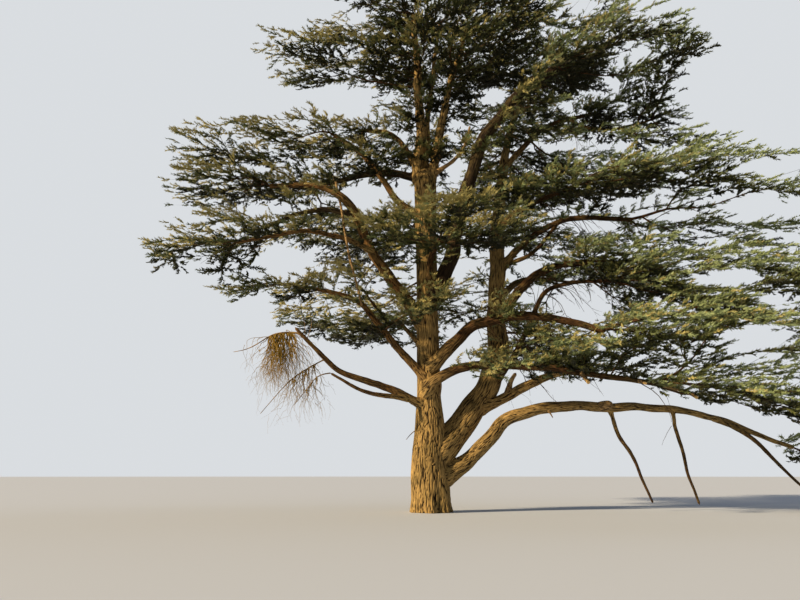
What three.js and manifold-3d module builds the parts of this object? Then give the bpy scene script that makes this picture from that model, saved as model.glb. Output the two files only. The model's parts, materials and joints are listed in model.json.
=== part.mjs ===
// A large old cedar of Lebanon that stands in the open: one stout trunk with a second trunk rising from its
// right side, long level boughs, and foliage in broad flat plates, one above another.
//
// The frame has its origin on the ground at the middle of the trunk, +Z up, +X to the right and +Y away
// from the side that the tree is seen from. The tree is rooted, so the trunk ends in a flat cut at Z = 0.
// Every limb is one tapering solid, and every plate of foliage is one closed, uneven solid. A limb is cut to
// sit against the limb that bears it, and a plate is cut round the limbs that enter it.
import * as THREE from "three";
import { mergeVertices } from "three/addons/utils/BufferGeometryUtils.js";
import Module from "manifold-3d";

// Driving dimensions, in metres unless a comment says otherwise.
const MM = 1000; // millimetres in a metre
const SEAT_GAP = 0.0004; // clearance between two pieces that touch
const SAME_POINT = 1e-6; // points nearer than this are one corner

const TRUNK = {
  height: 16, // ground to the fork of the three leaders
  lean: -0.1, // how far the fork stands to the side of the foot
  footRadius: 0.8, // below the second trunk
  columnRadius: 0.55, // above it
  topRadius: 0.43,
  forkSwell: 0.04, // how much the trunk widens under the fork
  swellStart: 14, // height where it begins to
  shoulder: [2.0, 4.6], // heights between which the foot narrows to the column
  flare: 0.1, // how far the roots spread past the foot at ground level, between the buttresses
  buttress: 0.1, // how much further a buttress spreads
  buttresses: 7, // how many there are
  flareHeight: 0.6, // height over which the flare dies away
  flute: 0.025, // depth of the hollows that run up the trunk between the buttresses
  fluteHeight: 3,
  crown: 0.12, // rise of the fork's rounded top
  rings: [0, 0.2, 0.5, 0.95, 1.6, 2.6, 3.7, 4.8, 6.8, 9.5, 12.2, 14.2, 15.4, 16.0], // heights
  sides: 16,
};
const LIMB = {
  sides: 7,
  ringSpacing: 1.5,
  taper: 0.85, // below 1, a limb thins sooner near its start
  tipDome: 0.6, // length of the rounded end, as a share of the end radius
  runOn: 0.3, // how far a limb that continues another keeps its direction
};
const PLATE = {
  around: 12, // points round a plate's rim
  layers: 6, // bands from its underside to its top
  unevenRim: 0.17, // depth of the bays in its outline, as a share of its radius
  unevenTop: 0.3, // height of its humps, as a share of its thickness
  wave: 0.22, // how far its rim rises and falls, as a share of its thickness
  rim: 0.75, // below 1, the rim is blunter than an ellipse's
  fan: 0.22, // how much broader it is towards its outer end
  underside: 0.72, // thickness below its middle, as a share of that above
};

// The limbs. "from" bears the limb, "at" is how far along that one it starts, "offset" moves the start off
// that one's middle, "via" are the shoulders it passes, "tip" is where it ends, and "radius" is its radius at
// the start and at the tip. A limb with "continues" goes on from the end of another.
const LIMBS = [
  { name: "left_leader", from: "trunk", at: 15.3, offset: [-0.28, -0.05, 0], via: [[-0.35, 0, 19.6]],
    tip: [-0.6, 0, 25.4], radius: [0.25, 0.09] },
  { name: "middle_leader", from: "trunk", at: 15.3, offset: [0, 0.33, 0], via: [[0.2, 0.55, 19.8]],
    tip: [0.9, 1.0, 25.8], radius: [0.17, 0.05] },
  { name: "right_leader", from: "trunk", at: 15.3, offset: [0.27, -0.06, 0], via: [[0.75, 0, 18.8]],
    tip: [2.3, -0.4, 24.6], radius: [0.24, 0.07] },

  { name: "side_trunk_foot", from: "trunk", at: 1.9, via: [[1.95, 0.75, 4.1]], tip: [3.25, 1.3, 6.5],
    radius: [0.6, 0.54] },
  { name: "side_trunk", continues: "side_trunk_foot", via: [[3.6, 2.0, 12.4], [4.4, 2.5, 18.2]],
    tip: [6.0, 3.0, 23.6], radius: [0.54, 0.1] },
  { name: "side_low_bough", from: "side_trunk_foot", at: 2.3, via: [[3.3, 0.8, 5.1], [4.5, 0.2, 5.5]],
    tip: [6.5, -1.7, 6.0], radius: [0.3, 0.14] },

  { name: "low_left_bough", from: "trunk", at: 4.5, offset: [-0.2, -0.2, 0],
    via: [[-2.4, -1.0, 5.3], [-4.5, -1.5, 6.1], [-5.2, -1.8, 7.1]], tip: [-5.8, -1.9, 7.6],
    radius: [0.21, 0.07] },
  { name: "low_left_fork", from: "low_left_bough", at: 0.7, via: [[-2.6, -1.5, 4.8]], tip: [-4.2, -2.1, 5.6],
    radius: [0.14, 0.05] },
  { name: "left_rising_bough", from: "trunk", at: 5.6, offset: [-0.1, -0.2, 0],
    via: [[-2.3, -1.0, 8.0], [-3.2, -1.2, 9.1]], tip: [-5.9, -1.5, 9.6], radius: [0.2, 0.08] },
  { name: "left_main_bough", from: "trunk", at: 8.0, via: [[-2.2, -1.0, 10.7]], tip: [-3.8, -1.6, 13.8],
    radius: [0.29, 0.19] },
  { name: "left_upper_fork", continues: "left_main_bough", via: [[-5.2, -1.6, 14.5]],
    tip: [-7.5, -1.1, 14.7], radius: [0.19, 0.1] },
  { name: "left_dark_fork", from: "left_main_bough", at: 6.3, via: [[-5.1, -1.5, 13.4]],
    tip: [-7.4, -2.0, 12.2], radius: [0.15, 0.08] },
  { name: "left_lit_bough", from: "left_main_bough", at: 4.4, via: [[-4.7, -2.3, 11.9]],
    tip: [-8.2, -3.5, 10.9], radius: [0.14, 0.06] },
  { name: "left_upper_bough", from: "trunk", at: 15.5, via: [[-1.2, 0.2, 16.1], [-3.0, 0.5, 16.1]],
    tip: [-6.2, 1.0, 15.6], radius: [0.22, 0.1] },
  { name: "left_bright_bough", from: "trunk", at: 13.4, via: [[-1.7, -0.5, 14.4], [-2.7, -0.9, 16.1]],
    tip: [-4.5, -1.3, 17.3], radius: [0.19, 0.1] },
  { name: "left_high_bough", from: "trunk", at: 15.6, via: [[-1.4, 0.2, 18.0], [-2.1, 0.4, 18.6]],
    tip: [-3.2, 0.4, 18.6], radius: [0.18, 0.1] },

  { name: "upper_right_limb", from: "trunk", at: 8.6, radius: [0.38, 0.2],
    via: [[1.1, -1.2, 11.5], [1.75, -2.4, 14.2], [2.25, -3.0, 15.9], [3.9, -3.5, 17.8], [4.6, -3.6, 18.7]],
    tip: [5.7, -3.9, 19.1] },
  { name: "right_high_bough", from: "side_trunk", at: 11.0, via: [[6.2, 0.8, 19.0]], tip: [8.4, -0.8, 18.8],
    radius: [0.17, 0.09] },
  { name: "right_long_bough", from: "side_trunk", at: 7.2, via: [[4.6, -0.6, 13.9]], tip: [6.4, -2.8, 13.8],
    radius: [0.2, 0.1] },
  { name: "right_arching_bough", from: "side_trunk", at: 4.9, via: [[6.3, 1.0, 13.7]], tip: [9.6, -0.8, 13.1],
    radius: [0.2, 0.1] },
  { name: "right_forked_bough", from: "side_trunk", at: 2.4, via: [[5.4, 0.6, 11.1]], tip: [7.4, -0.8, 11.0],
    radius: [0.26, 0.14] },
  { name: "right_lit_bough", from: "side_low_bough", at: 1.5, via: [[4.6, 0.5, 8.0], [5.6, 0, 10.0]],
    tip: [8.2, -1.4, 9.9], radius: [0.17, 0.08] },
  { name: "right_middle_bough", from: "trunk", at: 5.9, offset: [-0.15, -0.2, 0],
    via: [[0.75, -1.0, 6.8], [2.0, -1.7, 7.8], [3.4, -2.6, 8.0], [4.8, -3.4, 7.65]], tip: [6.6, -4.4, 6.9],
    radius: [0.32, 0.12] },
  { name: "right_low_bough", from: "trunk", at: 4.75, offset: [-0.3, -0.3, 0],
    via: [[0.7, -0.9, 5.9], [2.0, -1.3, 6.1], [5.6, -3.0, 5.6]], tip: [8.4, -4.5, 4.8],
    radius: [0.21, 0.09] },
  { name: "low_right_limb_foot", from: "trunk", at: 1.3, via: [[1.7, 0, 2.15], [2.75, 0, 3.3], [3.6, 0, 4.1]],
    tip: [5.1, 0, 4.4], radius: [0.4, 0.25] },
  { name: "low_right_limb", continues: "low_right_limb_foot", via: [[8.2, 0.1, 4.5], [12.2, 0.5, 4.2]],
    tip: [16.2, 0.5, 2.7], radius: [0.25, 0.09] },
  { name: "hanging_branch_inner", from: "low_right_limb", at: 2.9, via: [[8.7, 0.2, 2.6]],
    tip: [9.8, 0.8, 0.35], radius: [0.11, 0.05] },
  { name: "hanging_branch_outer", from: "low_right_limb", at: 5.9, via: [[11.3, 0.4, 2.2]],
    tip: [11.7, 0.5, 0.3], radius: [0.1, 0.05] },
  { name: "front_bough", from: "trunk", at: 10.0, via: [[0.1, -1.7, 10.9]], tip: [0.3, -3.2, 11.1],
    radius: [0.18, 0.1] },
  { name: "back_right_bough", from: "side_trunk", at: 3.6, via: [[5.2, 3.4, 11.4]], tip: [7.4, 4.8, 11.9],
    radius: [0.2, 0.1] },
];

// The plates of foliage. "on" is the limb that bears the plate, "at" is how far along that limb its root is
// (the limb's end if left out), and "root" puts it out among another plate's foliage. "tip" is its furthest
// point, "breadth" and "depth" are its width and thickness, "inset" is how far it starts behind its root,
// "lift" raises it off its limb, "sag" is how far its outer end hangs down, and "tilt" is how many degrees
// its front edge hangs lower than its back edge.
const PLATES = [
  { name: "foliage_crown_left", on: "left_leader", at: 6.4, tip: [-8.4, -1.0, 21.8], breadth: 6.2, depth: 2.4,
    inset: 0.6, tilt: 9 },
  { name: "foliage_crown_top_left", on: "left_leader", at: 9.6, tip: [-6.8, -0.6, 25.6], breadth: 7.5,
    depth: 3.0, inset: 1.8, lift: 0.7, tilt: 6 },
  { name: "foliage_crown_top_right", on: "right_leader", tip: [6.8, -0.6, 26.0], breadth: 8, depth: 3.2,
    inset: 1.8, lift: 0.7, tilt: 6 },
  { name: "foliage_crown_front", on: "right_leader", at: 5.6, tip: [3.2, -5.6, 21.9], breadth: 8,
    depth: 2.5, inset: 0.8 },
  { name: "foliage_crown_right", on: "upper_right_limb", tip: [12.2, -5.2, 18.4], breadth: 5.2, depth: 2.8,
    inset: 1.3, lift: 0.6, tilt: 14 },
  { name: "foliage_right_high", on: "right_high_bough", tip: [12.2, -2.6, 17.9], breadth: 4.6, depth: 1.8,
    inset: 0.9, tilt: 10 },
  { name: "foliage_right_spiky", on: "right_long_bough", root: [8.8, -4.4, 13.9], tip: [14.5, -5.2, 14.3],
    breadth: 3.0, depth: 1.2, inset: 0.6, tilt: 12 },
  { name: "foliage_right_long", on: "right_long_bough", tip: [10.4, -5.4, 13.3], breadth: 4.6, depth: 1.5,
    inset: 4.4, tilt: 17 },
  { name: "foliage_right_long_end", on: "right_long_bough", root: [10.3, -5.3, 13.2], tip: [16.2, -6.8, 11.9],
    breadth: 3.6, depth: 1.2, inset: 0.5, tilt: 12 },
  { name: "foliage_right_arching", on: "right_arching_bough", tip: [15.6, -4.2, 11.6], breadth: 4.0,
    depth: 1.2, inset: 0.7, tilt: 12 },
  { name: "foliage_right_forked", on: "right_forked_bough", tip: [17.0, -6.6, 8.7], breadth: 5, depth: 1.9,
    inset: 0.9, sag: 1.5, tilt: 12 },
  { name: "foliage_right_lit", on: "right_lit_bough", tip: [13.2, -5.0, 8.2], breadth: 4, depth: 1.4,
    inset: 0.8, sag: 0.9, tilt: 10 },
  { name: "foliage_right_middle", on: "right_middle_bough", tip: [11.8, -7.2, 6.6], breadth: 4.0, depth: 1.1,
    inset: 3.2, tilt: 8 },
  { name: "foliage_right_low", on: "right_low_bough", at: 2.6, tip: [10.2, -5.4, 6.0], breadth: 4.8,
    depth: 0.9, inset: 0.4, lift: 0.2, tilt: 5 },
  { name: "foliage_right_low_end", on: "right_low_bough", tip: [14.4, -6.2, 3.7], breadth: 4.0, depth: 1.0,
    inset: 0.8, sag: 0.3, tilt: 4 },
  { name: "foliage_low_right_end", on: "low_right_limb", tip: [18.8, 0.2, 1.8], breadth: 3.4, depth: 1.3,
    inset: 0.6, sag: 0.3 },

  { name: "foliage_left_top", on: "left_high_bough", tip: [-12.9, -1.0, 16.8], breadth: 5.2, depth: 1.6,
    inset: 1.2, tilt: 12, lift: -0.2 },
  { name: "foliage_left_second", on: "left_upper_bough", tip: [-12.5, -2.2, 14.0], breadth: 5.2, depth: 1.6,
    inset: 0.9, tilt: 6 },
  { name: "foliage_left_third", on: "left_dark_fork", root: [-7.4, -2.5, 11.7], tip: [-12.3, -3.2, 10.6],
    breadth: 5, depth: 2.1, inset: 0.9, tilt: 6 },
  { name: "foliage_left_lower", on: "left_rising_bough", tip: [-9.6, -1.9, 9.9], breadth: 4.0, depth: 1.4,
    inset: 0.7 },
  { name: "dead_twigs", on: "low_left_bough", root: [-5.9, -1.9, 7.9], tip: [-6.2, -2.0, 4.4], breadth: 1.8,
    depth: 2.2, inset: 0.1 },

  { name: "foliage_front", on: "front_bough", tip: [1.0, -7.6, 11.0], breadth: 6.5, depth: 1.3, inset: 0.9 },
  { name: "foliage_front_low", on: "trunk", at: 8.9, tip: [0.5, -3.4, 9.2], breadth: 2.8, depth: 0.8,
    inset: -0.2 },
  { name: "foliage_back_top", on: "side_trunk", tip: [7.2, 7.6, 24.6], breadth: 7.5, depth: 2.8,
    inset: 2.4, lift: 0.3 },
  { name: "foliage_back_high", on: "side_trunk", at: 12.0, tip: [5.6, 10.2, 18.4], breadth: 9, depth: 2.2,
    inset: 0.5 },
  { name: "foliage_back_left", on: "trunk", at: 13.4, tip: [-7.6, 9.4, 14.6], breadth: 7.5, depth: 2.0,
    inset: 0 },
  { name: "foliage_back_right", on: "back_right_bough", tip: [14.2, 7.6, 11.6], breadth: 7.5, depth: 2.0,
    inset: 0.8 },
  { name: "foliage_back_low_right", on: "side_trunk", at: 1.4, tip: [8.8, 10.4, 8.4], breadth: 6.5,
    depth: 1.8, inset: 0.3, sag: 0.3 },
  { name: "foliage_back_low_left", on: "trunk", at: 8.2, tip: [-5.6, 8.4, 9.6], breadth: 6, depth: 1.8,
    inset: 0.3 },
];

// Odd factors that turn a piece's seed and a counter into a number that looks random but never changes.
const SCRAMBLE = { seed: 12.9898, counter: 78.233, stretch: 43758.5453 };

const COLOURS = {
  bark: { color: "#7a5f43", roughness: 0.95, metalness: 0 },
  foliage: { color: "#4f5a2e", roughness: 0.85, metalness: 0 },
  deadTwigs: { color: "#8a6a44", roughness: 0.95, metalness: 0 },
};

const wasm = await Module();
wasm.setup();

// A repeatable number from -1 to 1 for a piece's seed and a counter.
function uneven(seed, n) {
  const x = Math.sin(seed * SCRAMBLE.seed + n * SCRAMBLE.counter) * SCRAMBLE.stretch;
  return 2 * (x - Math.floor(x)) - 1;
}

// A closed surface from loops of points that run round one axis, with a pole at each end. The first pole is
// where the surface starts, and the loops run anticlockwise as seen from the last pole.
function closedSurface(firstPole, loops, lastPole) {
  const count = loops[0].length;
  const points = [firstPole, ...loops.flat(), lastPole];
  const last = points.length - 1;
  const index = [];
  for (let i = 0; i < count; i++) {
    const j = (i + 1) % count;
    index.push(0, 1 + j, 1 + i);
    for (let ring = 0; ring + 1 < loops.length; ring++) {
      const a = 1 + ring * count;
      const b = a + count;
      index.push(a + i, a + j, b + j, a + i, b + j, b + i);
    }
    const top = 1 + (loops.length - 1) * count;
    index.push(last, top + i, top + j);
  }
  const xyz = points.flatMap((p) => [p.x, p.y, p.z]);
  const geometry = new THREE.BufferGeometry();
  geometry.setAttribute("position", new THREE.Float32BufferAttribute(xyz, 3));
  geometry.setIndex(index);
  return geometry;
}

// The same surface moved outwards along its own normals, so that what is cut by it keeps clear of the piece.
function grown(geometry, distance) {
  const bigger = geometry.clone();
  bigger.computeVertexNormals();
  const { position, normal } = bigger.attributes;
  for (let i = 0; i < position.count; i++) {
    position.setXYZ(
      i,
      position.getX(i) + normal.getX(i) * distance,
      position.getY(i) + normal.getY(i) * distance,
      position.getZ(i) + normal.getZ(i) * distance,
    );
  }
  bigger.deleteAttribute("normal");
  return bigger;
}

function solidOf(geometry) {
  const merged = mergeVertices(geometry, SAME_POINT);
  const scaled = Float32Array.from(merged.attributes.position.array, (x) => x * MM);
  return new wasm.Manifold(
    new wasm.Mesh({ numProp: 3, vertProperties: scaled, triVerts: new Uint32Array(merged.index.array) }),
  );
}

function geometryOf(solid) {
  const mesh = solid.getMesh();
  const geometry = new THREE.BufferGeometry();
  const xyz = new Float32Array(mesh.numVert * 3);
  for (let i = 0; i < mesh.numVert; i++) {
    xyz.set(mesh.vertProperties.subarray(i * mesh.numProp, i * mesh.numProp + 3), i * 3);
  }
  geometry.setAttribute("position", new THREE.BufferAttribute(xyz, 3));
  geometry.setIndex(new THREE.BufferAttribute(mesh.triVerts, 1));
  return geometry;
}

// The trunk's radius at a height and an angle: a stout foot, a slimmer column above the second trunk, a
// swelling under the fork, and roots that flare in buttresses at the ground.
function trunkRadius(height, angle) {
  const { smoothstep } = THREE.MathUtils;
  const [foot, column, top] = [TRUNK.footRadius, TRUNK.columnRadius, TRUNK.topRadius];
  const narrowed = (foot - column) * smoothstep(height, ...TRUNK.shoulder);
  const tapered = (column - top) * smoothstep(height, TRUNK.shoulder[1], TRUNK.height);
  const swell = TRUNK.forkSwell * smoothstep(height, TRUNK.swellStart, TRUNK.height);
  const ridge = Math.cos(TRUNK.buttresses * angle + Math.sin(angle));
  const flare = (TRUNK.flare + TRUNK.buttress * ridge) * Math.exp(-height / TRUNK.flareHeight);
  const flute = TRUNK.flute * ridge * Math.exp(-height / TRUNK.fluteHeight);
  return foot - narrowed - tapered + swell + flare + flute;
}

function trunkAxis() {
  return new THREE.LineCurve3(new THREE.Vector3(), new THREE.Vector3(TRUNK.lean, 0, TRUNK.height));
}

function trunkSurface(axis) {
  const loops = TRUNK.rings.map((height) =>
    Array.from({ length: TRUNK.sides }, (_, i) => {
      const angle = (i / TRUNK.sides) * 2 * Math.PI;
      const outward = new THREE.Vector3(Math.cos(angle), Math.sin(angle), 0);
      return axis.getPoint(height / TRUNK.height).addScaledVector(outward, trunkRadius(height, angle));
    }),
  );
  const fork = axis.getPoint(1).add(new THREE.Vector3(0, 0, TRUNK.crown));
  return closedSurface(axis.getPoint(0), loops, fork);
}

// A limb's centreline: from the limb that bears it, past its shoulders, to its tip.
function limbAxis(limb, axes) {
  const points = [...limb.via, limb.tip].map((p) => new THREE.Vector3(...p));
  if (limb.continues) {
    const before = axes[limb.continues];
    const end = before.getPointAt(1);
    points.unshift(end, end.clone().addScaledVector(before.getTangentAt(1), LIMB.runOn));
  } else {
    const start = pointAlong(axes[limb.from], limb.at);
    points.unshift(start.add(new THREE.Vector3(...(limb.offset ?? [0, 0, 0]))));
  }
  return new THREE.CatmullRomCurve3(points, false, "centripetal");
}

function pointAlong(axis, distance) {
  return axis.getPointAt(Math.min(1, distance / axis.getLength()));
}

// A tapering round limb along its centreline, with a flat start and a rounded end.
function limbSurface(limb, axis) {
  const rings = Math.max(3, Math.round(axis.getLength() / LIMB.ringSpacing));
  const frames = axis.computeFrenetFrames(rings, false);
  const loops = [];
  for (let ring = 0; ring <= rings; ring++) {
    const along = ring / rings;
    const radius = THREE.MathUtils.lerp(...limb.radius, along ** LIMB.taper);
    loops.push(
      Array.from({ length: LIMB.sides }, (_, i) => {
        const angle = (i / LIMB.sides) * 2 * Math.PI;
        return axis
          .getPointAt(along)
          .addScaledVector(frames.normals[ring], radius * Math.cos(angle))
          .addScaledVector(frames.binormals[ring], radius * Math.sin(angle));
      }),
    );
  }
  const dome = axis.getPointAt(1).addScaledVector(axis.getTangentAt(1), limb.radius[1] * LIMB.tipDome);
  return closedSurface(axis.getPointAt(0), loops, dome);
}

// A plate of foliage: a flattened, fan-shaped body with bays and waves in its rim and humps on its top, from
// its root at a limb to its furthest point. The seed sets its own bays, waves and humps.
function plateSurface(plate, axes, seed) {
  const { inset = 0, lift = 0, sag = 0, tilt = 0 } = plate;
  const limb = axes[plate.on];
  const root = plate.root ? new THREE.Vector3(...plate.root) : pointAlong(limb, plate.at ?? Infinity);
  const tip = new THREE.Vector3(...plate.tip);
  const forward = tip.clone().sub(root).normalize();
  const start = root.addScaledVector(forward, -inset);
  const centre = start.clone().lerp(tip, 0.5).add(new THREE.Vector3(0, 0, lift));
  const across = new THREE.Vector3(0, 0, 1).cross(forward).normalize();
  across.applyAxisAngle(forward, THREE.MathUtils.degToRad(tilt) * Math.sign(across.y));
  const up = forward.clone().cross(across);
  const half = [start.distanceTo(tip) / 2, plate.breadth / 2, plate.depth / 2];

  // The surface's point on one spoke, at a latitude from the middle of the underside to that of the top.
  function point(spoke, latitude) {
    const angle = (spoke / PLATE.around) * 2 * Math.PI;
    const bay = 1 + PLATE.unevenRim * uneven(seed, spoke);
    const hump = 1 + PLATE.unevenTop * uneven(seed, spoke + PLATE.around);
    const radius = bay * Math.cos(latitude) ** PLATE.rim;
    const length = radius * Math.cos(angle);
    const width = radius * Math.sin(angle) * (1 + PLATE.fan * Math.cos(angle));
    const height = Math.sin(latitude) * (latitude < 0 ? PLATE.underside : hump);
    const wave = PLATE.wave * uneven(seed, spoke + 2 * PLATE.around) * radius ** 2;
    const drop = sag * ((1 + length) / 2) ** 2;
    return centre
      .clone()
      .addScaledVector(forward, length * half[0])
      .addScaledVector(across, width * half[1])
      .addScaledVector(up, (height + wave) * half[2])
      .add(new THREE.Vector3(0, 0, -drop));
  }

  const loops = [];
  for (let layer = 1; layer < PLATE.layers; layer++) {
    const latitude = Math.PI * (layer / PLATE.layers - 0.5);
    loops.push(Array.from({ length: PLATE.around }, (_, spoke) => point(spoke, latitude)));
  }
  return closedSurface(point(0, -Math.PI / 2), loops, point(0, Math.PI / 2));
}

// What is left of a solid once every earlier piece is cut away from it. Loose crumbs are dropped.
function fitted(surface, earlier) {
  let solid = solidOf(surface);
  for (const other of earlier) {
    solid = solid.subtract(other);
  }
  const bodies = solid.decompose();
  bodies.sort((a, b) => b.volume() - a.volume());
  return bodies[0];
}

function meshOf(name, solid, look) {
  const mesh = new THREE.Mesh(geometryOf(solid), new THREE.MeshStandardMaterial(look));
  mesh.name = name;
  return mesh;
}

function buildTree() {
  const tree = new THREE.Group();
  const limbs = new THREE.Group();
  const foliage = new THREE.Group();
  tree.add(limbs, foliage);
  const axes = {};
  const earlier = [];

  axes.trunk = trunkAxis();
  const trunk = trunkSurface(axes.trunk);
  limbs.add(meshOf("trunk", solidOf(trunk), COLOURS.bark));
  earlier.push(solidOf(grown(trunk, SEAT_GAP)));

  for (const limb of LIMBS) {
    axes[limb.name] = limbAxis(limb, axes);
    const surface = limbSurface(limb, axes[limb.name]);
    limbs.add(meshOf(limb.name, fitted(surface, earlier), COLOURS.bark));
    earlier.push(solidOf(grown(surface, SEAT_GAP)));
  }

  PLATES.forEach((plate, seed) => {
    const surface = plateSurface(plate, axes, seed + 1);
    const look = plate.name.startsWith("dead") ? COLOURS.deadTwigs : COLOURS.foliage;
    foliage.add(meshOf(plate.name, fitted(surface, earlier), look));
    earlier.push(solidOf(grown(surface, SEAT_GAP)));
  });
  return tree;
}

export default buildTree();
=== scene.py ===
"""A large old cedar of Lebanon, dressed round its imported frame.

The trunk and boughs get bark with real relief. Branches grow on from them by a seeded rule until they fill
each mass of foliage, and sprays of needles are dealt out along the twigs.
"""
import heapq
import json
import math

import bpy
import numpy as np
from bpy.props import FloatProperty, FloatVectorProperty, IntProperty, PointerProperty
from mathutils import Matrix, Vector, noise
from mathutils.bvhtree import BVHTree
from mathutils.kdtree import KDTree

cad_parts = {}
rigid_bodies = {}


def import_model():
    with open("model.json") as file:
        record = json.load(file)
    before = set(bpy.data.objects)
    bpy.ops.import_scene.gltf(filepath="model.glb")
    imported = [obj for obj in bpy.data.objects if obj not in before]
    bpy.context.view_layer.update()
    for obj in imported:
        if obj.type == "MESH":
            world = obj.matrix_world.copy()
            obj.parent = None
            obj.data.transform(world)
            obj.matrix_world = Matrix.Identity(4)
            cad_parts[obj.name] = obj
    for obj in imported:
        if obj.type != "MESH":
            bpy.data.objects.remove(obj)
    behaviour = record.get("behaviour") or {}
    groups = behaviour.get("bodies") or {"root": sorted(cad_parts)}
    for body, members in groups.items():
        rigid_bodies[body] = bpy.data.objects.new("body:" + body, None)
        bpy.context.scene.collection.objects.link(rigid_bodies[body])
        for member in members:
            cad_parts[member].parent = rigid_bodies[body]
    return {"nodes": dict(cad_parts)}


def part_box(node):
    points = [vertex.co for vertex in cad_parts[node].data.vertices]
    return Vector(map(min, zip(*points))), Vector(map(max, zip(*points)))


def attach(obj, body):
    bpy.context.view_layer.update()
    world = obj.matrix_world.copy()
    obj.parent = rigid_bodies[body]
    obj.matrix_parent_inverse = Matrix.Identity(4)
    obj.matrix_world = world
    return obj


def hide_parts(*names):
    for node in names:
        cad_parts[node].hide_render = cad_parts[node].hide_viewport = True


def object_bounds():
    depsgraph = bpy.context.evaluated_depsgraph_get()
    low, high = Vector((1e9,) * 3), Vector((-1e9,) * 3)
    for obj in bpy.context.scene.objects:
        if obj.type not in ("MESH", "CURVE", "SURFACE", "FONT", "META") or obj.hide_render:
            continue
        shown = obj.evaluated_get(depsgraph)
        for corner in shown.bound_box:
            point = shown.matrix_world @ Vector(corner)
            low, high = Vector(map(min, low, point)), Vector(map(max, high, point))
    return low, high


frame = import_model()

bl_info = {
    "name": "Cedar of Lebanon",
    "version": (1, 0, 0),
    "blender": (4, 5, 0),
    "location": "View3D > Sidebar > Cedar",
    "description": "Dresses the frame of a large old cedar with bark, branches, twigs and needles",
    "category": "Add Mesh",
}

CAD_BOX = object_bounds()
noise.seed_set(5)  # otherwise the noise that bends the limbs changes with the time of day

# The view that the tables of places are given in.
EYE = Vector((-1.32, -27.7, 1.5))  # metres
PITCH = math.radians(15.9)
FOCAL = 616  # pixels
MIDDLE = (400, 300)  # of the view, in pixels
SENSOR_WIDTH = 36  # millimetres

# What bears each limb. The trunk stands on the ground.
BORNE_BY = {
    "trunk": [
        "left_leader", "middle_leader", "right_leader", "side_trunk_foot", "low_left_bough",
        "left_rising_bough", "left_main_bough", "left_bright_bough", "left_upper_bough", "left_high_bough",
        "upper_right_limb", "right_middle_bough", "right_low_bough", "low_right_limb_foot", "front_bough",
    ],
    "side_trunk_foot": [
        "side_low_bough", "right_high_bough", "right_long_bough", "right_arching_bough",
        "right_forked_bough", "back_right_bough",
    ],
    "side_low_bough": ["right_lit_bough"],
    "low_left_bough": ["low_left_fork"],
    "left_main_bough": ["left_dark_fork", "left_lit_bough"],
    "low_right_limb_foot": ["hanging_branch_inner", "hanging_branch_outer"],
}
# A limb that was split at its bend goes on in another node.
GOES_ON_IN = {
    "side_trunk_foot": "side_trunk",
    "low_right_limb_foot": "low_right_limb",
    "left_main_bough": "left_upper_fork",
}
# Where along a limb its side branches begin, as a share of its length, how far apart they are, and how long.
PADS = {
    "others": (0.42, 0.75, 1.7),
    "trunk": (1, 1, 1),
    "left_leader": (0.1, 0.42, 1.5),
    "middle_leader": (0.1, 0.5, 1.4),
    "right_leader": (0.1, 0.42, 1.6),
    "side_trunk_foot": (0.45, 0.5, 1.6),
    "upper_right_limb": (0.45, 0.55, 1.9),
    "low_left_bough": (1, 1, 1),
    "low_left_fork": (1, 1, 1),
    "low_right_limb_foot": (0.85, 1, 1.2),
    "hanging_branch_inner": (1, 1, 1),
    "hanging_branch_outer": (1, 1, 1),
}
# Open places between the plates: middle and half sizes in the pixels of the 800 x 600 view.
GAPS = {
    "under the crown's left plate": (338, 98, 64, 14),
    "beyond the crown's left plate": (243, 60, 34, 50),
    "beyond the crown's left top": (312, 9, 35, 19),
    "notch in the crown's top": (578, 3, 17, 13),
    "beyond the crown's right top": (738, 26, 44, 36),
    "beyond the crown's right plate": (716, 88, 46, 32),
    "over the left plates": (240, 101, 56, 13),
    "left of the fork": (404, 183, 8, 17),
    "right of the fork": (452, 172, 15, 21),
    "between the leaders and the upper limb": (495, 97, 12, 10),
    "beside the leaders": (453, 128, 9, 14),
    "high in the left plates": (270, 209, 34, 7),
    "low in the left plates": (290, 258, 38, 17),
    "left of the trunk": (361, 194, 15, 15),
    "low beside the trunk": (403, 335, 8, 9),
    "beyond the first left plate": (147, 150, 33, 36),
    "beyond the second left plate": (149, 192, 42, 24),
    "beyond the third left plate": (136, 226, 40, 22),
    "beyond the lowest left plate": (124, 252, 34, 24),
    "right of the trunk": (456, 268, 11, 24),
    "between the trunks": (476, 296, 9, 14),
    "low between the trunks": (468, 337, 19, 11),
    "under the long bough": (662, 214, 40, 7),
    "under the long bough's end": (760, 210, 50, 15),
    "over the spiky end": (725, 112, 48, 22),
    "beyond the spiky plate": (772, 137, 38, 12),
    "under the spiky end": (768, 166, 44, 12),
    "over the arching bough": (588, 225, 33, 8),
    "beyond the arching plate": (790, 240, 22, 4),
    "between the right boughs": (525, 266, 13, 8),
    "under the lit bough": (575, 303, 48, 24),
    "under the forked bough's end": (726, 278, 38, 9),
    "beyond the lit plate": (778, 300, 26, 13),
    "over the low right end": (755, 338, 34, 12),
}
# A gap's rim wavers by this share of its reach, with noises of these strengths and sizes in metres.
WAVER = 0.55
WAVER_NOISES = ((1, 0.7), (0.6, 2.2), (0.8, 0.3))
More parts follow.
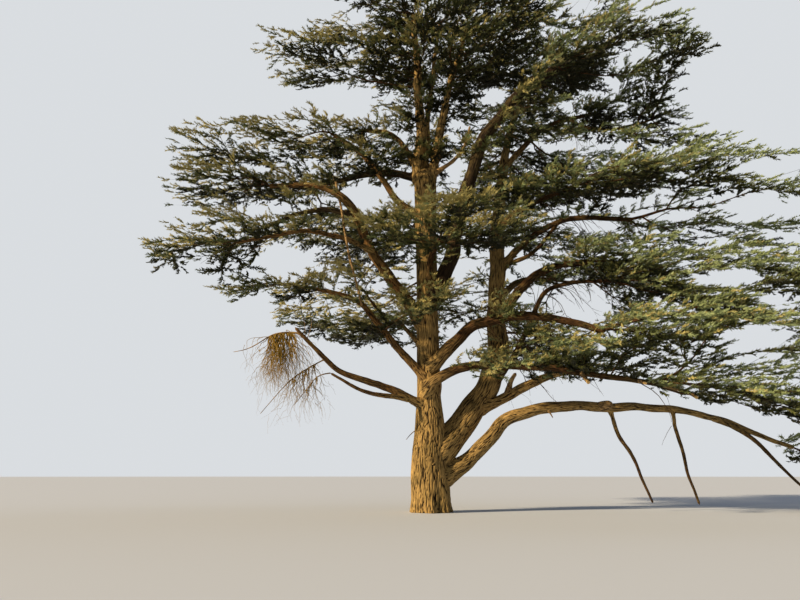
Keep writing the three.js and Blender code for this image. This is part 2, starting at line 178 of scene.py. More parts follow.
# Thin growth between the plates: left, top, right and bottom in the same view, and how near and far it lies.
BETWEEN = {
    "over the long bough": (512, 124, 620, 142, -4.0, 0.5),
    "the crown's right shoulder": (545, -12, 622, 30, -5.0, -1.0),
    "behind the second trunk": (505, 214, 562, 262, 0.5, 3.5),
    "under the arching plate": (560, 235, 800, 248, -5.0, 0.0),
    "dark growth left of the trunk": (296, 262, 412, 300, -3.0, 2.0),
    "between the high left plates": (245, 155, 335, 171, -2.0, 1.5),
    "beside the left leader": (378, 92, 412, 136, -2.0, 2.0),
    "beside the left high bough": (335, 138, 398, 166, -1.0, 2.0),
    "beside the right leader": (440, 104, 560, 130, -1.0, 3.0),
    "round the trunk": (385, 297, 512, 325, -4.0, -1.2),
    "in front of the trunk": (408, 290, 478, 326, -3.4, -1.3),
    "over the trunk, high": (396, 197, 476, 224, -3.2, -1.2),
    "over the trunk, lower": (392, 214, 470, 250, -3.8, -1.4),
    "over the long bough's end": (618, 130, 712, 150, -4.0, 0.5),
    "under the spiky plate": (632, 184, 716, 198, -4.0, 0.0),
    "between the right plates": (610, 296, 800, 346, -6.5, -1.0),
    "low on the right": (640, 343, 800, 394, -7.0, -2.5),
    "under the low plates": (470, 362, 640, 377, -5.0, -1.5),
    "far side of the crown": (400, 10, 600, 90, 3.0, 6.0),
    "far side, high": (330, 150, 640, 185, 3.0, 7.5),
    "far side, middle": (300, 215, 660, 250, 3.0, 8.0),
    "far side, low": (280, 290, 640, 325, 3.0, 8.0),
}
# How many bare twigs hang from each of these boughs.
HANGING = {
    "right_lit_bough": 30,
    "right_forked_bough": 22,
    "right_arching_bough": 24,
    "right_long_bough": 14,
    "right_high_bough": 16,
    "right_low_bough": 9,
    "right_middle_bough": 14,
    "left_lit_bough": 5,
    "left_main_bough": 6,
    "left_rising_bough": 6,
    "upper_right_limb": 12,
}
# The broom of dead twigs: how many hang from each limb, between which shares of its length, and how many
# steps the longest takes.
BROOM = {
    "dead end of the low left bough": (130, 0.22, 0.54, 13),
    "dead twig under the low left bough": (46, 0.12, 0.5, 8),
    "dead twig of the low left fork": (14, 0.3, 0.7, 5),
}
# Small boughs that the frame leaves out: bearer, first and last radius, whether leaves grow on it, and the
# places that it passes in the view, each with how far it lies behind its start. It starts on its bearer.
SMALL_BOUGHS = {
    "beside the fork": ("right_leader", 0.11, 0.05, False, (
        (437, 176, 0), (452, 163, -0.3), (463, 150, -0.6), (468, 138, -0.9), (470, 126, -1.0))),
    "along the arching bough": ("side_trunk_foot", 0.12, 0.07, True, (
        (508, 268, 0), (530, 256, -0.5), (546, 240, -0.9), (553, 228, -1.0), (562, 218, -1.0))),
    "fork of the high bough": ("right_high_bough", 0.09, 0.04, True, (
        (568, 122, 0), (585, 128, -0.4), (612, 130, -0.8), (632, 125, -1.2), (655, 119, -1.6))),
    "stub on the low bough": ("side_low_bough", 0.13, 0.08, False, (
        (503, 391, 0), (509, 381, -0.2), (516, 373, -0.3))),
    "dark bough left of the trunk": ("trunk", 0.1, 0.04, True, (
        (418, 330, 0), (400, 322, -0.5), (387, 317, -0.8), (377, 310, -1.1), (369, 299, -1.3),
        (362, 288, -1.4))),
    "dead stem down the left": ("left_upper_bough", 0.06, 0.045, False, (
        (330, 163, 0), (335, 178, -1.6), (341, 207, -2.6), (348, 252, -3.0), (357, 285, -3.2),
        (362, 306, -3.2))),
    "dead end of the low left bough": ("low_left_bough", 0.05, 0.012, False, (
        (311, 333, 0), (300, 331, 0), (286, 333, -0.1), (274, 332, -0.1), (262, 341, -0.2),
        (248, 350, -0.2), (233, 352, -0.2))),
    "bleached strip on the trunk": ("trunk", 0.07, 0.035, False, (
        (441, 376, 0), (442, 379, -0.3), (441, 390, -0.32), (439, 401, -0.36), (436, 411, -0.4))),
    "knob on the low right limb": ("low_right_limb_foot", 0.17, 0.2, False, (
        (598, 403, 0), (605, 402, -0.12), (613, 405, -0.2))),
    "dead twig standing up": ("low_left_bough", 0.02, 0.007, False, (
        (311, 332, 0), (305, 320, 0), (300, 308, 0.1))),
    "second dead twig standing up": ("low_left_bough", 0.02, 0.007, False, (
        (312, 334, 0), (314, 321, 0.1), (309, 309, 0.1))),
    "dead twig under the low left bough": ("low_left_bough", 0.03, 0.012, False, (
        (320, 365, 0), (306, 369, -0.1), (295, 376, -0.2), (284, 386, -0.2), (273, 399, -0.2),
        (260, 414, -0.2))),
    "dead twig of the low left fork": ("low_left_fork", 0.03, 0.009, False, (
        (330, 371, 0), (318, 373, -0.1), (309, 386, -0.2), (301, 397, -0.2), (294, 405, -0.2))),
    "stub low on the trunk": ("trunk", 0.025, 0.012, False, (
        (418, 424, 0), (410, 432, -0.2), (406, 440, -0.3))),
    "second end of the low right limb": ("low_right_limb_foot", 0.12, 0.05, True, (
        (712, 416, 0), (738, 429, -0.3), (757, 441, -0.4), (772, 458, -0.5), (790, 476, -0.5),
        (806, 490, -0.5))),
    "stub under the low right limb": ("low_right_limb_foot", 0.07, 0.02, False, (
        (545, 405, 0), (549, 409, -0.3), (553, 418, -0.3))),
    "first cut stub": ("right_low_bough", 0.08, 0.07, False, (
        (582, 374, 0), (585, 378, -0.3), (588, 382, -0.6))),
    "second cut stub": ("right_low_bough", 0.07, 0.06, False, (
        (640, 377, 0), (643, 380, -0.3), (645, 383, -0.6))),
    "third cut stub": ("right_low_bough", 0.07, 0.06, False, (
        (692, 389, 0), (694, 393, -0.3), (696, 397, -0.6))),
}
# A place in a mass stays empty where a slow noise falls below this, so that sky shows through in slits.
OPENNESS = {"airy": 0.09, "dense": -0.05}
AIRY = ("left", "crown", "right_high", "back")
# How much thicker a limb is than its frame node, at its start and at its tip.
THICKER = {"left_leader": (1.2, 1.5), "middle_leader": (1.1, 1.4), "right_leader": (1.1, 1.4),
           "right_low_bough": (1.2, 1)}
# The limbs with the trunk's golden bark. The others have it only where they leave their bearer.
GOLDEN = ("trunk", "side_trunk_foot", "side_low_bough", "low_right_limb_foot", "left_leader",
          "middle_leader", "right_leader")
# The boughs in the crown's own shade, whose bark is painted dark for that shade.
DARK = ("upper_right_limb", "left_upper_bough", "left_dark_fork")
# How far a limb wanders from its straight line, in its own radii. All others wander as WANDER says.
CROOKED = {"hanging_branch_inner": 3.2, "hanging_branch_outer": 3.2, "side_trunk_foot": 0.35}
WANDER = 0.75
TRUNK_SIDES = 16  # corners in one ring of the frame's trunk
LIMB_SIDES = 7  # corners in one ring of a frame's limb
SAME_POINT = 1e-4  # metres; corners nearer than this are one
ROUND_ENOUGH = 0.15  # how uneven a ring's radius may be, as a share of it
TIP_SHARE = 0.6  # a limb's radius at its tip, as a share of its last ring's
# Metres between two points of a centreline.
LIMB_STEP, TRUNK_STEP, SMALL_BOUGH_STEP = 0.085, 0.04, 0.05
BEND_SIZE = 0.35  # metres, how far a bend between two knots of a limb is rounded
RING_CORNERS = (10, 210)  # the fewest and the most in one ring of bark
CUT_SIDES = 12  # of the sawn end of a branch
# Metres: a limb this thick has bark plates of the full width, and furrows of the full depth.
FULL_WIDTH_RADIUS, FULL_DEPTH_RADIUS = 0.65, 0.8
LUMPY = 0.13  # how far a limb swells and shrinks along its length, as a share of its radius
GOLDEN_FADES_OVER = 1.8  # metres of a bough, from the trunk's golden bark to its own
# The trunk's top is thicker than its frame node: from this height up to that one it grows by this share.
THICKER_TOP = ((11, 14), (1, 1.2))
UP = np.array([0.0, 0.0, 1.0])

# Growth: all lengths are in metres.
FRINGE = 0.13  # how far growth strays outside a mass
MARGIN = 0.05  # how far it keeps from the bark of limbs and from the sides of the CAD box
CLUMP = (1.5, 1.3, 0.5)  # the size of the slow noise that leaves slits in the growth
LOWEST_PAD = 5.5  # no side branches grow below this height
LONGEST_HOP = 1.6  # between two places on a branch
SEED_SPACING = 0.21  # between the points of a limb that branches can start from
BRANCH_RADIUS = 0.026  # a branch that starts thicker than this has six sides, a twig three
FINE_TWIG = 0.03  # sprays grow where a twig is thinner than this
TWIGS_SPLIT_AT = 4.5  # the twigs' two pieces meet at this X
# Other growth shades a place if it lies within this reach of the point that is this far towards the light.
LIGHT_FROM = np.array([-0.3, -0.15, 0.8])
LIGHT_REACH = 0.75
VARIANTS = 5  # different sprays
MOST_TRIANGLES = 195000  # in one piece of needles
A_FAIR_SHARE = 0.05  # of the sprays in a mass: a piece with fewer doesn't stand for it

# What the user may change in a spray: each one's kind of socket and its default.
SPRAY_INPUTS = (
    ("Shoot length", "NodeSocketFloat", 0.29),
    ("Needles", "NodeSocketInt", 12),
    ("Needle length", "NodeSocketFloat", 0.125),
    ("Needle width", "NodeSocketFloat", 0.04),
)
# The greens from the darkest growth to the two in the sun, painted shade and painted light dealt by how much
# light each spray gets: the share of the needles that a spray of it has, and how much wider they are.
GREENS = (
    ("shaded", 0.75, 1.7),
    ("deep", 0.85, 1.45),
    ("middle", 1, 1),
    ("bluish", 1, 1),
    ("golden", 1, 1),
    ("sage", 1, 1),
)
# The floor, in metres. It lies a little below the trunk's flat foot, so that the two faces don't meet.
FLOOR_RADIUS, FLOOR_LEVEL, FLOOR_SIDES = 900, -0.004, 64
SKY_LIGHT = (0.8, 0.88, 1.0)  # the cool light from the side away from the sun

# Sockets that share their names with others, so that they are told apart by number.
MIX_FIRST, MIX_SECOND, MIX_COLOUR = 6, 7, 2
LEAST, MOST, RANDOM_SEED, RANDOM_FLOAT = 2, 3, 8, 1


def linear(hex_colour):
    """An sRGB hex colour as linear red, green and blue."""
    parts = [int(hex_colour[i:i + 2], 16) / 255 for i in (1, 3, 5)]
    return tuple(c / 12.92 if c <= 0.04045 else ((c + 0.055) / 1.055) ** 2.4 for c in parts)


def length(description, default):
    """A size in metres. The first words of its description are its name."""
    return FloatProperty(name=description.split(",")[0].capitalize(), description=description,
                         default=default, unit="LENGTH")


def tint(description, default):
    """A colour from an sRGB hex value. The first words of its description are its name."""
    return FloatVectorProperty(name=description.split(",")[0].capitalize(), description=description,
                               default=linear(default), subtype="COLOR", size=3, min=0, max=1)


class CedarBark(bpy.types.PropertyGroup):
    mesh_size: length("mesh size, about the width of one face of the bark", 0.028)
    ridge_width: length("ridge width, across a bark plate at the trunk's foot", 0.095)
    ridge_depth: length("ridge depth, of the furrows at the trunk's foot", 0.045)
    collar: FloatProperty(name="Collar", description="How much a bough swells where it leaves its bearer",
                          default=0.65)
    plate: tint("plate, the weathered face of a bark plate", "#b5965e")
    bough: tint("bough, the redder bark of the boughs", "#543b21")
    # Painted light: this paler tan bark stands for the sun on the left boughs, on the side the sun comes from.
    lit_bough: tint("lit bough, the tan bark of the left boughs", "#856339")
    weathered: tint("weathered, the greyer patches", "#6f6238")
    # Painted shade: this dark bark stands for the shade that the crown casts on those boughs.
    shaded: tint("shaded, the dark bark of boughs that the sun never reaches", "#33261a")
    dead_wood: tint("dead wood, bleached by the sun", "#b9986a")
    # Partly the bark's own darker inner layer and partly painted shade in the crack.
    furrow: tint("furrow, the dark bottom of a crack", "#22160b")
    cut_wood: tint("cut wood, the pale end of a sawn branch", "#e3bd7c")


class CedarFoliage(bpy.types.PropertyGroup):
    twig_spacing: length("twig spacing, between neighbouring twigs in one layer", 0.295)
    layer_spacing: length("layer spacing, between two layers in one mass", 0.37)
    twig_radius: length("twig radius, near the end of a twig", 0.007)
    shoot_length: length("shoot length, of one spray", 0.29)
    needle_length: length("needle length, drawn larger than life so that the count stays payable", 0.125)
    needle_width: length("needle width, drawn larger than life", 0.04)
    needles: IntProperty(name="Needles", description="Needles on one shoot", default=12)
    seed: IntProperty(name="Seed", description="Changes where the twigs grow", default=7)
    # The greens are dealt by how much light each spray gets: golden and sage are painted sunlight, bluish and
    # middle painted half light, deep and shaded painted shade.
    golden: tint("golden, the growth in the sun, more of it on the left", "#a8a067")
    sage: tint("sage, the growth in the sun, more of it on the right", "#8b996c")
    # Painted light: bluish goes to the growth that gets the most light after the two sunlit greens, whatever
    # the needles' age.
    bluish: tint("bluish, older needles with a grey bloom", "#5f6942")
    middle: tint("middle, most of the foliage", "#555a2d")
    deep: tint("deep, inside the plates", "#333817")
    shaded: tint("shaded, the undersides and the inside of the crown", "#1f220b")
    branch: tint("branch, the bark of the thin branches in a mass", "#523a24")
    twig: tint("twig, the bark of the twigs that bear needles", "#4a3723")
    bare_twig: tint("bare twig, the bark of the twigs that hang below the plates", "#4a3522")
    dead: tint("dead, dry twigs that hold no needles", "#a5873f")


class CedarStage(bpy.types.PropertyGroup):
    eye: FloatVectorProperty(name="Eye", description="Where the camera stands", subtype="TRANSLATION",
                             default=tuple(EYE))
    pitch: FloatProperty(name="Pitch", description="How far the camera looks up", subtype="ANGLE",
                         default=PITCH)
    lens: FloatProperty(name="Lens", description="Focal length in millimetres",
                        default=FOCAL * SENSOR_WIDTH / (2 * MIDDLE[0]))
    floor: tint("floor, the plain pale ground", "#cdd7ea")
    sky: tint("sky, the plain pale backdrop", "#f0f4f8")
    sun: tint("sun, the warm main light", "#ffe4b8")


def add_node(tree, kind, settings=None, inputs=None):
    """Adds a node, makes its settings, and fills its inputs with values or with other nodes' outputs."""
    node = tree.nodes.new(kind)
    for name, value in (settings or {}).items():
        setattr(node, name, value)
    for name, value in (inputs or {}).items():
        if isinstance(value, bpy.types.NodeSocket):
            tree.links.new(value, node.inputs[name])
        else:
            node.inputs[name].default_value = value
    return node


# Places and directions

def unit(vectors):
    """The same directions, each of length one."""
    return vectors / np.maximum(np.linalg.norm(vectors, axis=-1, keepdims=True), 1e-6)


def noise_at(places, size):
    """Smooth noise at each place. Its lumps are about this size, or have one size along each axis."""
    return np.array([noise.noise(Vector(place)) for place in places / np.array(size)])


def kd_tree(places):
    """A tree that finds which places lie near a point."""
    tree = KDTree(len(places))
    for index, place in enumerate(places):
        tree.insert(place, index)
    tree.balance()
    return tree


def distance_along(path):
    """How far along a path each of its points is."""
    return np.concatenate([[0], np.cumsum(np.linalg.norm(np.diff(path, axis=0), axis=1))])


def points_at(at, along, path):
    """The points of a path at these distances along it."""
    return np.stack([np.interp(at, along, path[:, k]) for k in range(3)], 1)


def in_box(places, low, high):
    """Which places lie between two corners."""
    return ((places > low) & (places < high)).all(1)


def spokes(one, two, angles):
    """Directions all round, at these angles from the first of two directions towards the second."""
    return one[..., None, :] * np.cos(angles)[:, None] + two[..., None, :] * np.sin(angles)[:, None]


def pixels(places):
    """Where places appear in the view."""
    x, y, z = (places - np.array(EYE)).T
    ahead = y * math.cos(PITCH) + z * math.sin(PITCH)
    return np.stack([MIDDLE[0] + FOCAL * x / ahead,
                     MIDDLE[1] - FOCAL * (z * math.cos(PITCH) - y * math.sin(PITCH)) / ahead], 1)


def placed_at(u, v, y):
    """The places that appear at these pixels, at a given distance behind the middle of the trunk."""
    sideways, rise = (u - MIDDLE[0]) / FOCAL, (MIDDLE[1] - v) / FOCAL
    ahead = (y - EYE.y) / (math.cos(PITCH) - rise * math.sin(PITCH))
    return np.stack([EYE.x + ahead * sideways, y,
                     EYE.z + ahead * (math.sin(PITCH) + rise * math.cos(PITCH))], 1)


def in_a_gap(places):
    """Which places lie in one of the gaps. Its rim is ragged, because each gap's reach wavers."""
    u, v = pixels(places).T
    waver = sum(share * noise_at(places, size) for share, size in WAVER_NOISES)
    held = np.zeros(len(places), bool)
    for middle_u, middle_v, half_u, half_v in GAPS.values():
        reach = np.hypot((u - middle_u) / half_u, (v - middle_v) / half_v)
        held |= reach < 1 + WAVER * waver
    return held


# Reading the frame

def merged(node):
    """A node's corners and triangles, with the corners that its loose triangles share made one."""
    mesh = frame["nodes"][node].data
    corners = np.empty((len(mesh.vertices), 3), np.float32)
    mesh.vertices.foreach_get("co", corners.ravel())
    mesh.calc_loop_triangles()
    faces = np.empty((len(mesh.loop_triangles), 3), np.int32)
    mesh.loop_triangles.foreach_get("vertices", faces.ravel())
    _, first, one_of = np.unique(np.round(corners / SAME_POINT), axis=0, return_index=True,
                                 return_inverse=True)
    return corners[first].astype(float), one_of.reshape(-1)[faces]


def rings_of(node, sides):
    """The corners of a limb's solid, the pole at its tip, its rings from the tip back to where its bearer
    cuts it, and the corners left over at the cut."""
    corners, faces = merged(node)
    near = [set() for _ in corners]
    for face in faces:
        for corner in face:
            near[corner].update(face)
    best = (0, -math.inf, None, None)
    for pole in range(len(corners)):
        if len(near[pole]) != sides + 1:
            continue
        rings, seen, layer = [], {pole}, near[pole] - {pole}
        while len(layer) == sides:
            ring = corners[sorted(layer)]
            reach = np.linalg.norm(ring - ring.mean(0), axis=1)
            if reach.std() > ROUND_ENOUGH * reach.mean():
                break
            rings.append(sorted(layer))
            seen |= layer
            layer = set().union(*(near[i] for i in layer)) - seen
        best = max(best, (len(rings), corners[pole][2], pole, rings))
    _, _, pole, rings = best
    used = {pole}.union(*rings)
    cut = [i for i in range(len(corners)) if i not in used]
    return corners, pole, rings, cut


class Limb:
    """A limb's centreline from inside its bearer to its tip, with its radius and the distance along it."""

    def __init__(self, path, radii, bearer=None, leafy=False):
        self.path = path
        self.radii = radii
        self.bearer = bearer
        self.leafy = leafy
        self.along = distance_along(path)

    def nearest(self, points):
        """For each point, the distance to the centreline, and the limb's radius there."""
        away = np.linalg.norm(points[:, None] - self.path[None], axis=2)
        index = away.argmin(1)
        return away[np.arange(len(points)), index], self.radii[index]


def knots_of(node, sides=LIMB_SIDES):
    """The middles and radii of a limb's rings from its start to its tip, and the corners of its cut face."""
    corners, pole, rings, cut = rings_of(node, sides)
    rings = [corners[ring] for ring in reversed(rings)]
    middles = [ring.mean(0) for ring in rings]
    radii = [np.linalg.norm(ring - ring.mean(0), axis=1).mean() for ring in rings]
    return middles + [corners[pole]], radii + [radii[-1] * TIP_SHARE], corners[cut]


def start_inside(bearer, cut, ahead):
    """Where a limb starts: back from its cut face along its own line, where that is nearest its bearer's
    middle."""
    trial = cut + unit(cut - ahead) * np.linspace(0, 1.2, 25)[:, None]
    away, _ = bearer.nearest(trial)
    return trial[away.argmin()]


def rounded_path(points, radii, step, wander, seed):
    """The same line with a point every step, its bends rounded, and a little natural crookedness."""
    points = np.array(points)
    along = distance_along(points)
    at = np.linspace(0, along[-1], max(8, round(along[-1] / step)) + 1)
    path = points_at(at, along, points)
    radii = np.interp(at, along, radii)
    for _ in range(round(2 * (BEND_SIZE / step) ** 2)):
        path[1:-1] += 0.25 * (path[:-2] + path[2:] - 2 * path[1:-1])
    for i, s in enumerate(at):
        ease = min(1, s / 0.8, (along[-1] - s) / 0.8)
        bend = Vector(noise.noise_vector(Vector((s / 1.4, seed, 0.5))))
        path[i] += np.array(bend) * wander * radii[i] * ease
    return path, radii


def read_limbs():
    """Every limb's centreline, by its first node's name, in an order where each comes after its bearer."""
    middles, radii, _ = knots_of("trunk", TRUNK_SIDES)
    limbs = {"trunk": Limb(np.array(middles), np.array(radii))}
    for bearer, borne in BORNE_BY.items():
        for node in borne:
            middles, radii, cut_corners = knots_of(node)
            cut = cut_corners.mean(0)
            start = start_inside(limbs[bearer], cut, middles[0])
            points, thick = [start, cut] + middles, [radii[0]] * 2 + radii
            if node in GOES_ON_IN:
                more, more_radii, _ = knots_of(GOES_ON_IN[node])
                points, thick = points[:-1] + more, thick[:-1] + more_radii
            path, radius = rounded_path(points, thick, LIMB_STEP, CROOKED.get(node, WANDER), seed=len(limbs))
            radius = radius * np.linspace(*THICKER.get(node, (1, 1)), len(radius))
            limbs[node] = Limb(path, radius, bearer)
    return limbs


def small_boughs():
    """The small boughs, each from its bearer's middle through its places in the view."""
    made = {}
    for index, (name, (bearer, thick, thin, leafy, stops)) in enumerate(SMALL_BOUGHS.items()):
        borne_by = LIMBS[bearer]
        u, v, behind = np.array(stops, float).T
        seen = pixels(borne_by.path)
        start = borne_by.path[np.hypot(seen[:, 0] - u[0], seen[:, 1] - v[0]).argmin()]
        points = [start] + list(placed_at(u[1:], v[1:], start[1] + behind[1:]))
        radii = np.linspace(thick, thin, len(points))
        path, radii = rounded_path(points, radii, SMALL_BOUGH_STEP, 0.5, seed=40 + index)
        made[name] = Limb(path, radii, bearer, leafy)
    return made


# Making meshes

def linked(name, data):
    """A new object in the scene."""
    made = bpy.data.objects.new(name, data)
    bpy.context.scene.collection.objects.link(made)
    return made


def mesh_object(name, corners, faces, attributes=()):
    """A mesh object from arrays: faces is one array of triangles or quads."""
    mesh = bpy.data.meshes.new(name)
    count, sides = faces.shape
    mesh.vertices.add(len(corners))
    mesh.vertices.foreach_set("co", corners.astype(np.float32).ravel())
    mesh.loops.add(count * sides)
    mesh.loops.foreach_set("vertex_index", faces.astype(np.int32).ravel())
    mesh.polygons.add(count)
    mesh.polygons.foreach_set("loop_start", np.arange(0, count * sides, sides, dtype=np.int32))
    mesh.polygons.foreach_set("use_smooth", np.ones(count, bool))
    for label, kind, values in attributes:
        add_attribute(mesh, label, kind, values)
    mesh.update(calc_edges=True)
    return linked(name, mesh)


def add_attribute(mesh, label, kind, values):
    """Gives each of a mesh's points a named value."""
    layer = mesh.attributes.new(label, kind, "POINT")
    layer.data.foreach_set("vector" if kind == "FLOAT_VECTOR" else "value", np.asarray(values).ravel())


def placed(piece, nodes=(), material=None):
    """Gives a finished piece its material, fixes it to the frame's root body and hides the frame's nodes that
    it stands for. One that node trees made has its material already.
    """
    if material is not None:
        piece.data.materials.append(material)
    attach(piece, "root")
    if nodes:
        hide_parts(*nodes)
    return piece


def new_material(name, roughness, gloss):
    """A new material and its shader, with how rough it is and how strongly it reflects."""
    material = bpy.data.materials.new(name)
    material.use_nodes = True
    shader = material.node_tree.nodes["Principled BSDF"]
    shader.inputs["Roughness"].default_value = roughness
    shader.inputs["Specular IOR Level"].default_value = gloss
    return material, shader


# Bark

def across(path):
    """Two directions square to the path at each of its points, turned as little as possible along it."""
    forward = unit(np.gradient(path, axis=0))
    side = np.cross(forward[0], UP if abs(forward[0][2]) < 0.9 else np.array([1.0, 0, 0]))
    sides = []
    for ahead in forward:
        side = unit(side - ahead * (side @ ahead))
        sides.append(side)
    sides = np.array(sides)
    return sides, np.cross(forward, sides)


def furrows(grain, width):
    """The height of bark from 0 in a crack to 1 on a plate, for places on a straightened limb. The cracks run
    along the limb and are a plate's width apart."""
    height = np.empty(len(grain))
    for i, (x, y, z) in enumerate(grain / width):
        sway = 0.6 * noise.noise(Vector((x / 3, y / 3, z / 7)))
        wide = abs(noise.noise(Vector((x + sway, y + sway, z / 15))))
        fine = abs(noise.noise(Vector((2.1 * x, 2.1 * y, z / 8))))
        height[i] = min(1, wide / 0.16) ** 0.6 * (0.7 + 0.3 * min(1, fine / 0.2))
    return height


def bark_tube(limb, radius_at, settings, offset):
    """One limb's bark as a closed tube of triangles, with its grain and relief at each corner."""
    thickest = limb.radii.max()
    sides = int(np.clip(round(2 * math.pi * thickest / settings.mesh_size), *RING_CORNERS))
    around = np.arange(sides)
    angles = around / sides * 2 * math.pi
    out = spokes(*across(limb.path), angles)
    radius = radius_at(limb, angles)
    mean = radius.mean(1, keepdims=True)
    grain = np.stack([np.cos(angles)[None] * mean, np.sin(angles)[None] * mean,
                      np.broadcast_to(limb.along[:, None], radius.shape)], 2)
    grain = grain.reshape(-1, 3) + offset
    share = np.clip(np.median(limb.radii) / FULL_WIDTH_RADIUS, 0.02, 1)
    height = furrows(grain, settings.ridge_width * share ** 0.5)
    thin = np.clip(mean / FULL_DEPTH_RADIUS, 0.04, 1) ** 0.8
    depth = (settings.ridge_depth * np.broadcast_to(thin, radius.shape)).reshape(-1)
    lumps = noise_at(grain * [1, 1, 0.8], max(0.16, 1.6 * thickest))
    reach = radius.reshape(-1) * (1 + LUMPY * lumps) - depth * (1 - height)
    corners = np.repeat(limb.path, sides, axis=0) + out.reshape(-1, 3) * reach[:, None]
    corners[:, 2] = np.maximum(corners[:, 2], 0)
    following = (around + 1) % sides
    ring = np.arange(len(limb.path) - 1)[:, None] * sides
    quads = np.stack([ring + around, ring + following, ring + following + sides, ring + around + sides], 2)
    quads = quads.reshape(-1, 4)
    pole, last = len(corners), len(corners) - sides
    faces = np.concatenate([
        quads[:, [0, 1, 2]],
        quads[:, [0, 2, 3]],
        np.stack([np.full(sides, pole), following, around], 1),
        np.stack([np.full(sides, pole + 1), last + around, last + following], 1),
    ])
    tip = limb.path[-1] + (limb.path[-1] - limb.path[-2]) * 0.5
    corners = np.concatenate([corners, [limb.path[0], tip]])
    return corners, faces, np.concatenate([grain, grain[[0, -1]]]), np.concatenate([height, [1, 1]])


def with_collar(collar):
    """A rule for a bough's radius: each side of it swells where it comes near its bearer, so that the two
    flow together, and it stays inside its bearer at its start."""

    def radius_at(limb, angles):
        bearer = LIMBS[limb.bearer]
        away, bearer_radius = bearer.nearest(limb.path)
        one, two = across(limb.path)
        radius = np.repeat(limb.radii[:, None], len(angles), axis=1)
        swell = collar * np.clip(1.25 - limb.radii[0] / bearer_radius[0], 0.3, 1)
        for ring in np.where(away < bearer_radius + 4 * limb.radii)[0]:
            surface = limb.path[ring] + spokes(one[ring], two[ring], angles) * limb.radii[ring]
            off, thick = bearer.nearest(surface)
            beyond = np.maximum(0, off - 0.95 * thick)
            radius[ring] *= 1 + swell * np.exp(-beyond / (0.9 * limb.radii[ring]))
        radius = np.minimum(radius, (away + 0.9 * bearer_radius)[:, None])
        end = np.clip((limb.along[-1] - limb.along) / (1.2 * limb.radii[-1]), 0, 1)
        return radius * np.sqrt(1 - (1 - end[:, None]) ** 2 * 0.97)

    return radius_at


def trunk_profile():
    """A rule for the trunk's radius by height and angle, read from the frame's own rings, buttresses and
    all."""
    corners, _, rings, _ = rings_of("trunk", TRUNK_SIDES)
    heights, table = [], []
    for ring in reversed(rings):
        middle = corners[ring].mean(0)
        from_middle = corners[ring] - middle
        angle = np.arctan2(from_middle[:, 1], from_middle[:, 0]) % (2 * math.pi)
        order = angle.argsort()
        heights.append(middle[2])
        table.append((angle[order], np.linalg.norm(from_middle, axis=1)[order]))

    def radius_at(limb, angles):
        one, two = across(limb.path)
        turn = math.atan2(one[0][1], one[0][0])
        sense = 1 if np.cross(one[0], two[0])[2] > 0 else -1
        real = (turn + sense * angles) % (2 * math.pi)
        rows = np.array([np.interp(real, a, r, period=2 * math.pi) for a, r in table])
        z = limb.path[:, 2]
        radius = np.stack([np.interp(z, heights, rows[:, k]) for k in range(len(angles))], 1)
        radius = radius * np.interp(z, *THICKER_TOP)[:, None]
        dome = np.clip((z[-1] - z) / 0.9, 0, 1)
        return radius * np.sqrt(1 - (1 - dome[:, None]) ** 2 * 0.9)

    return radius_at


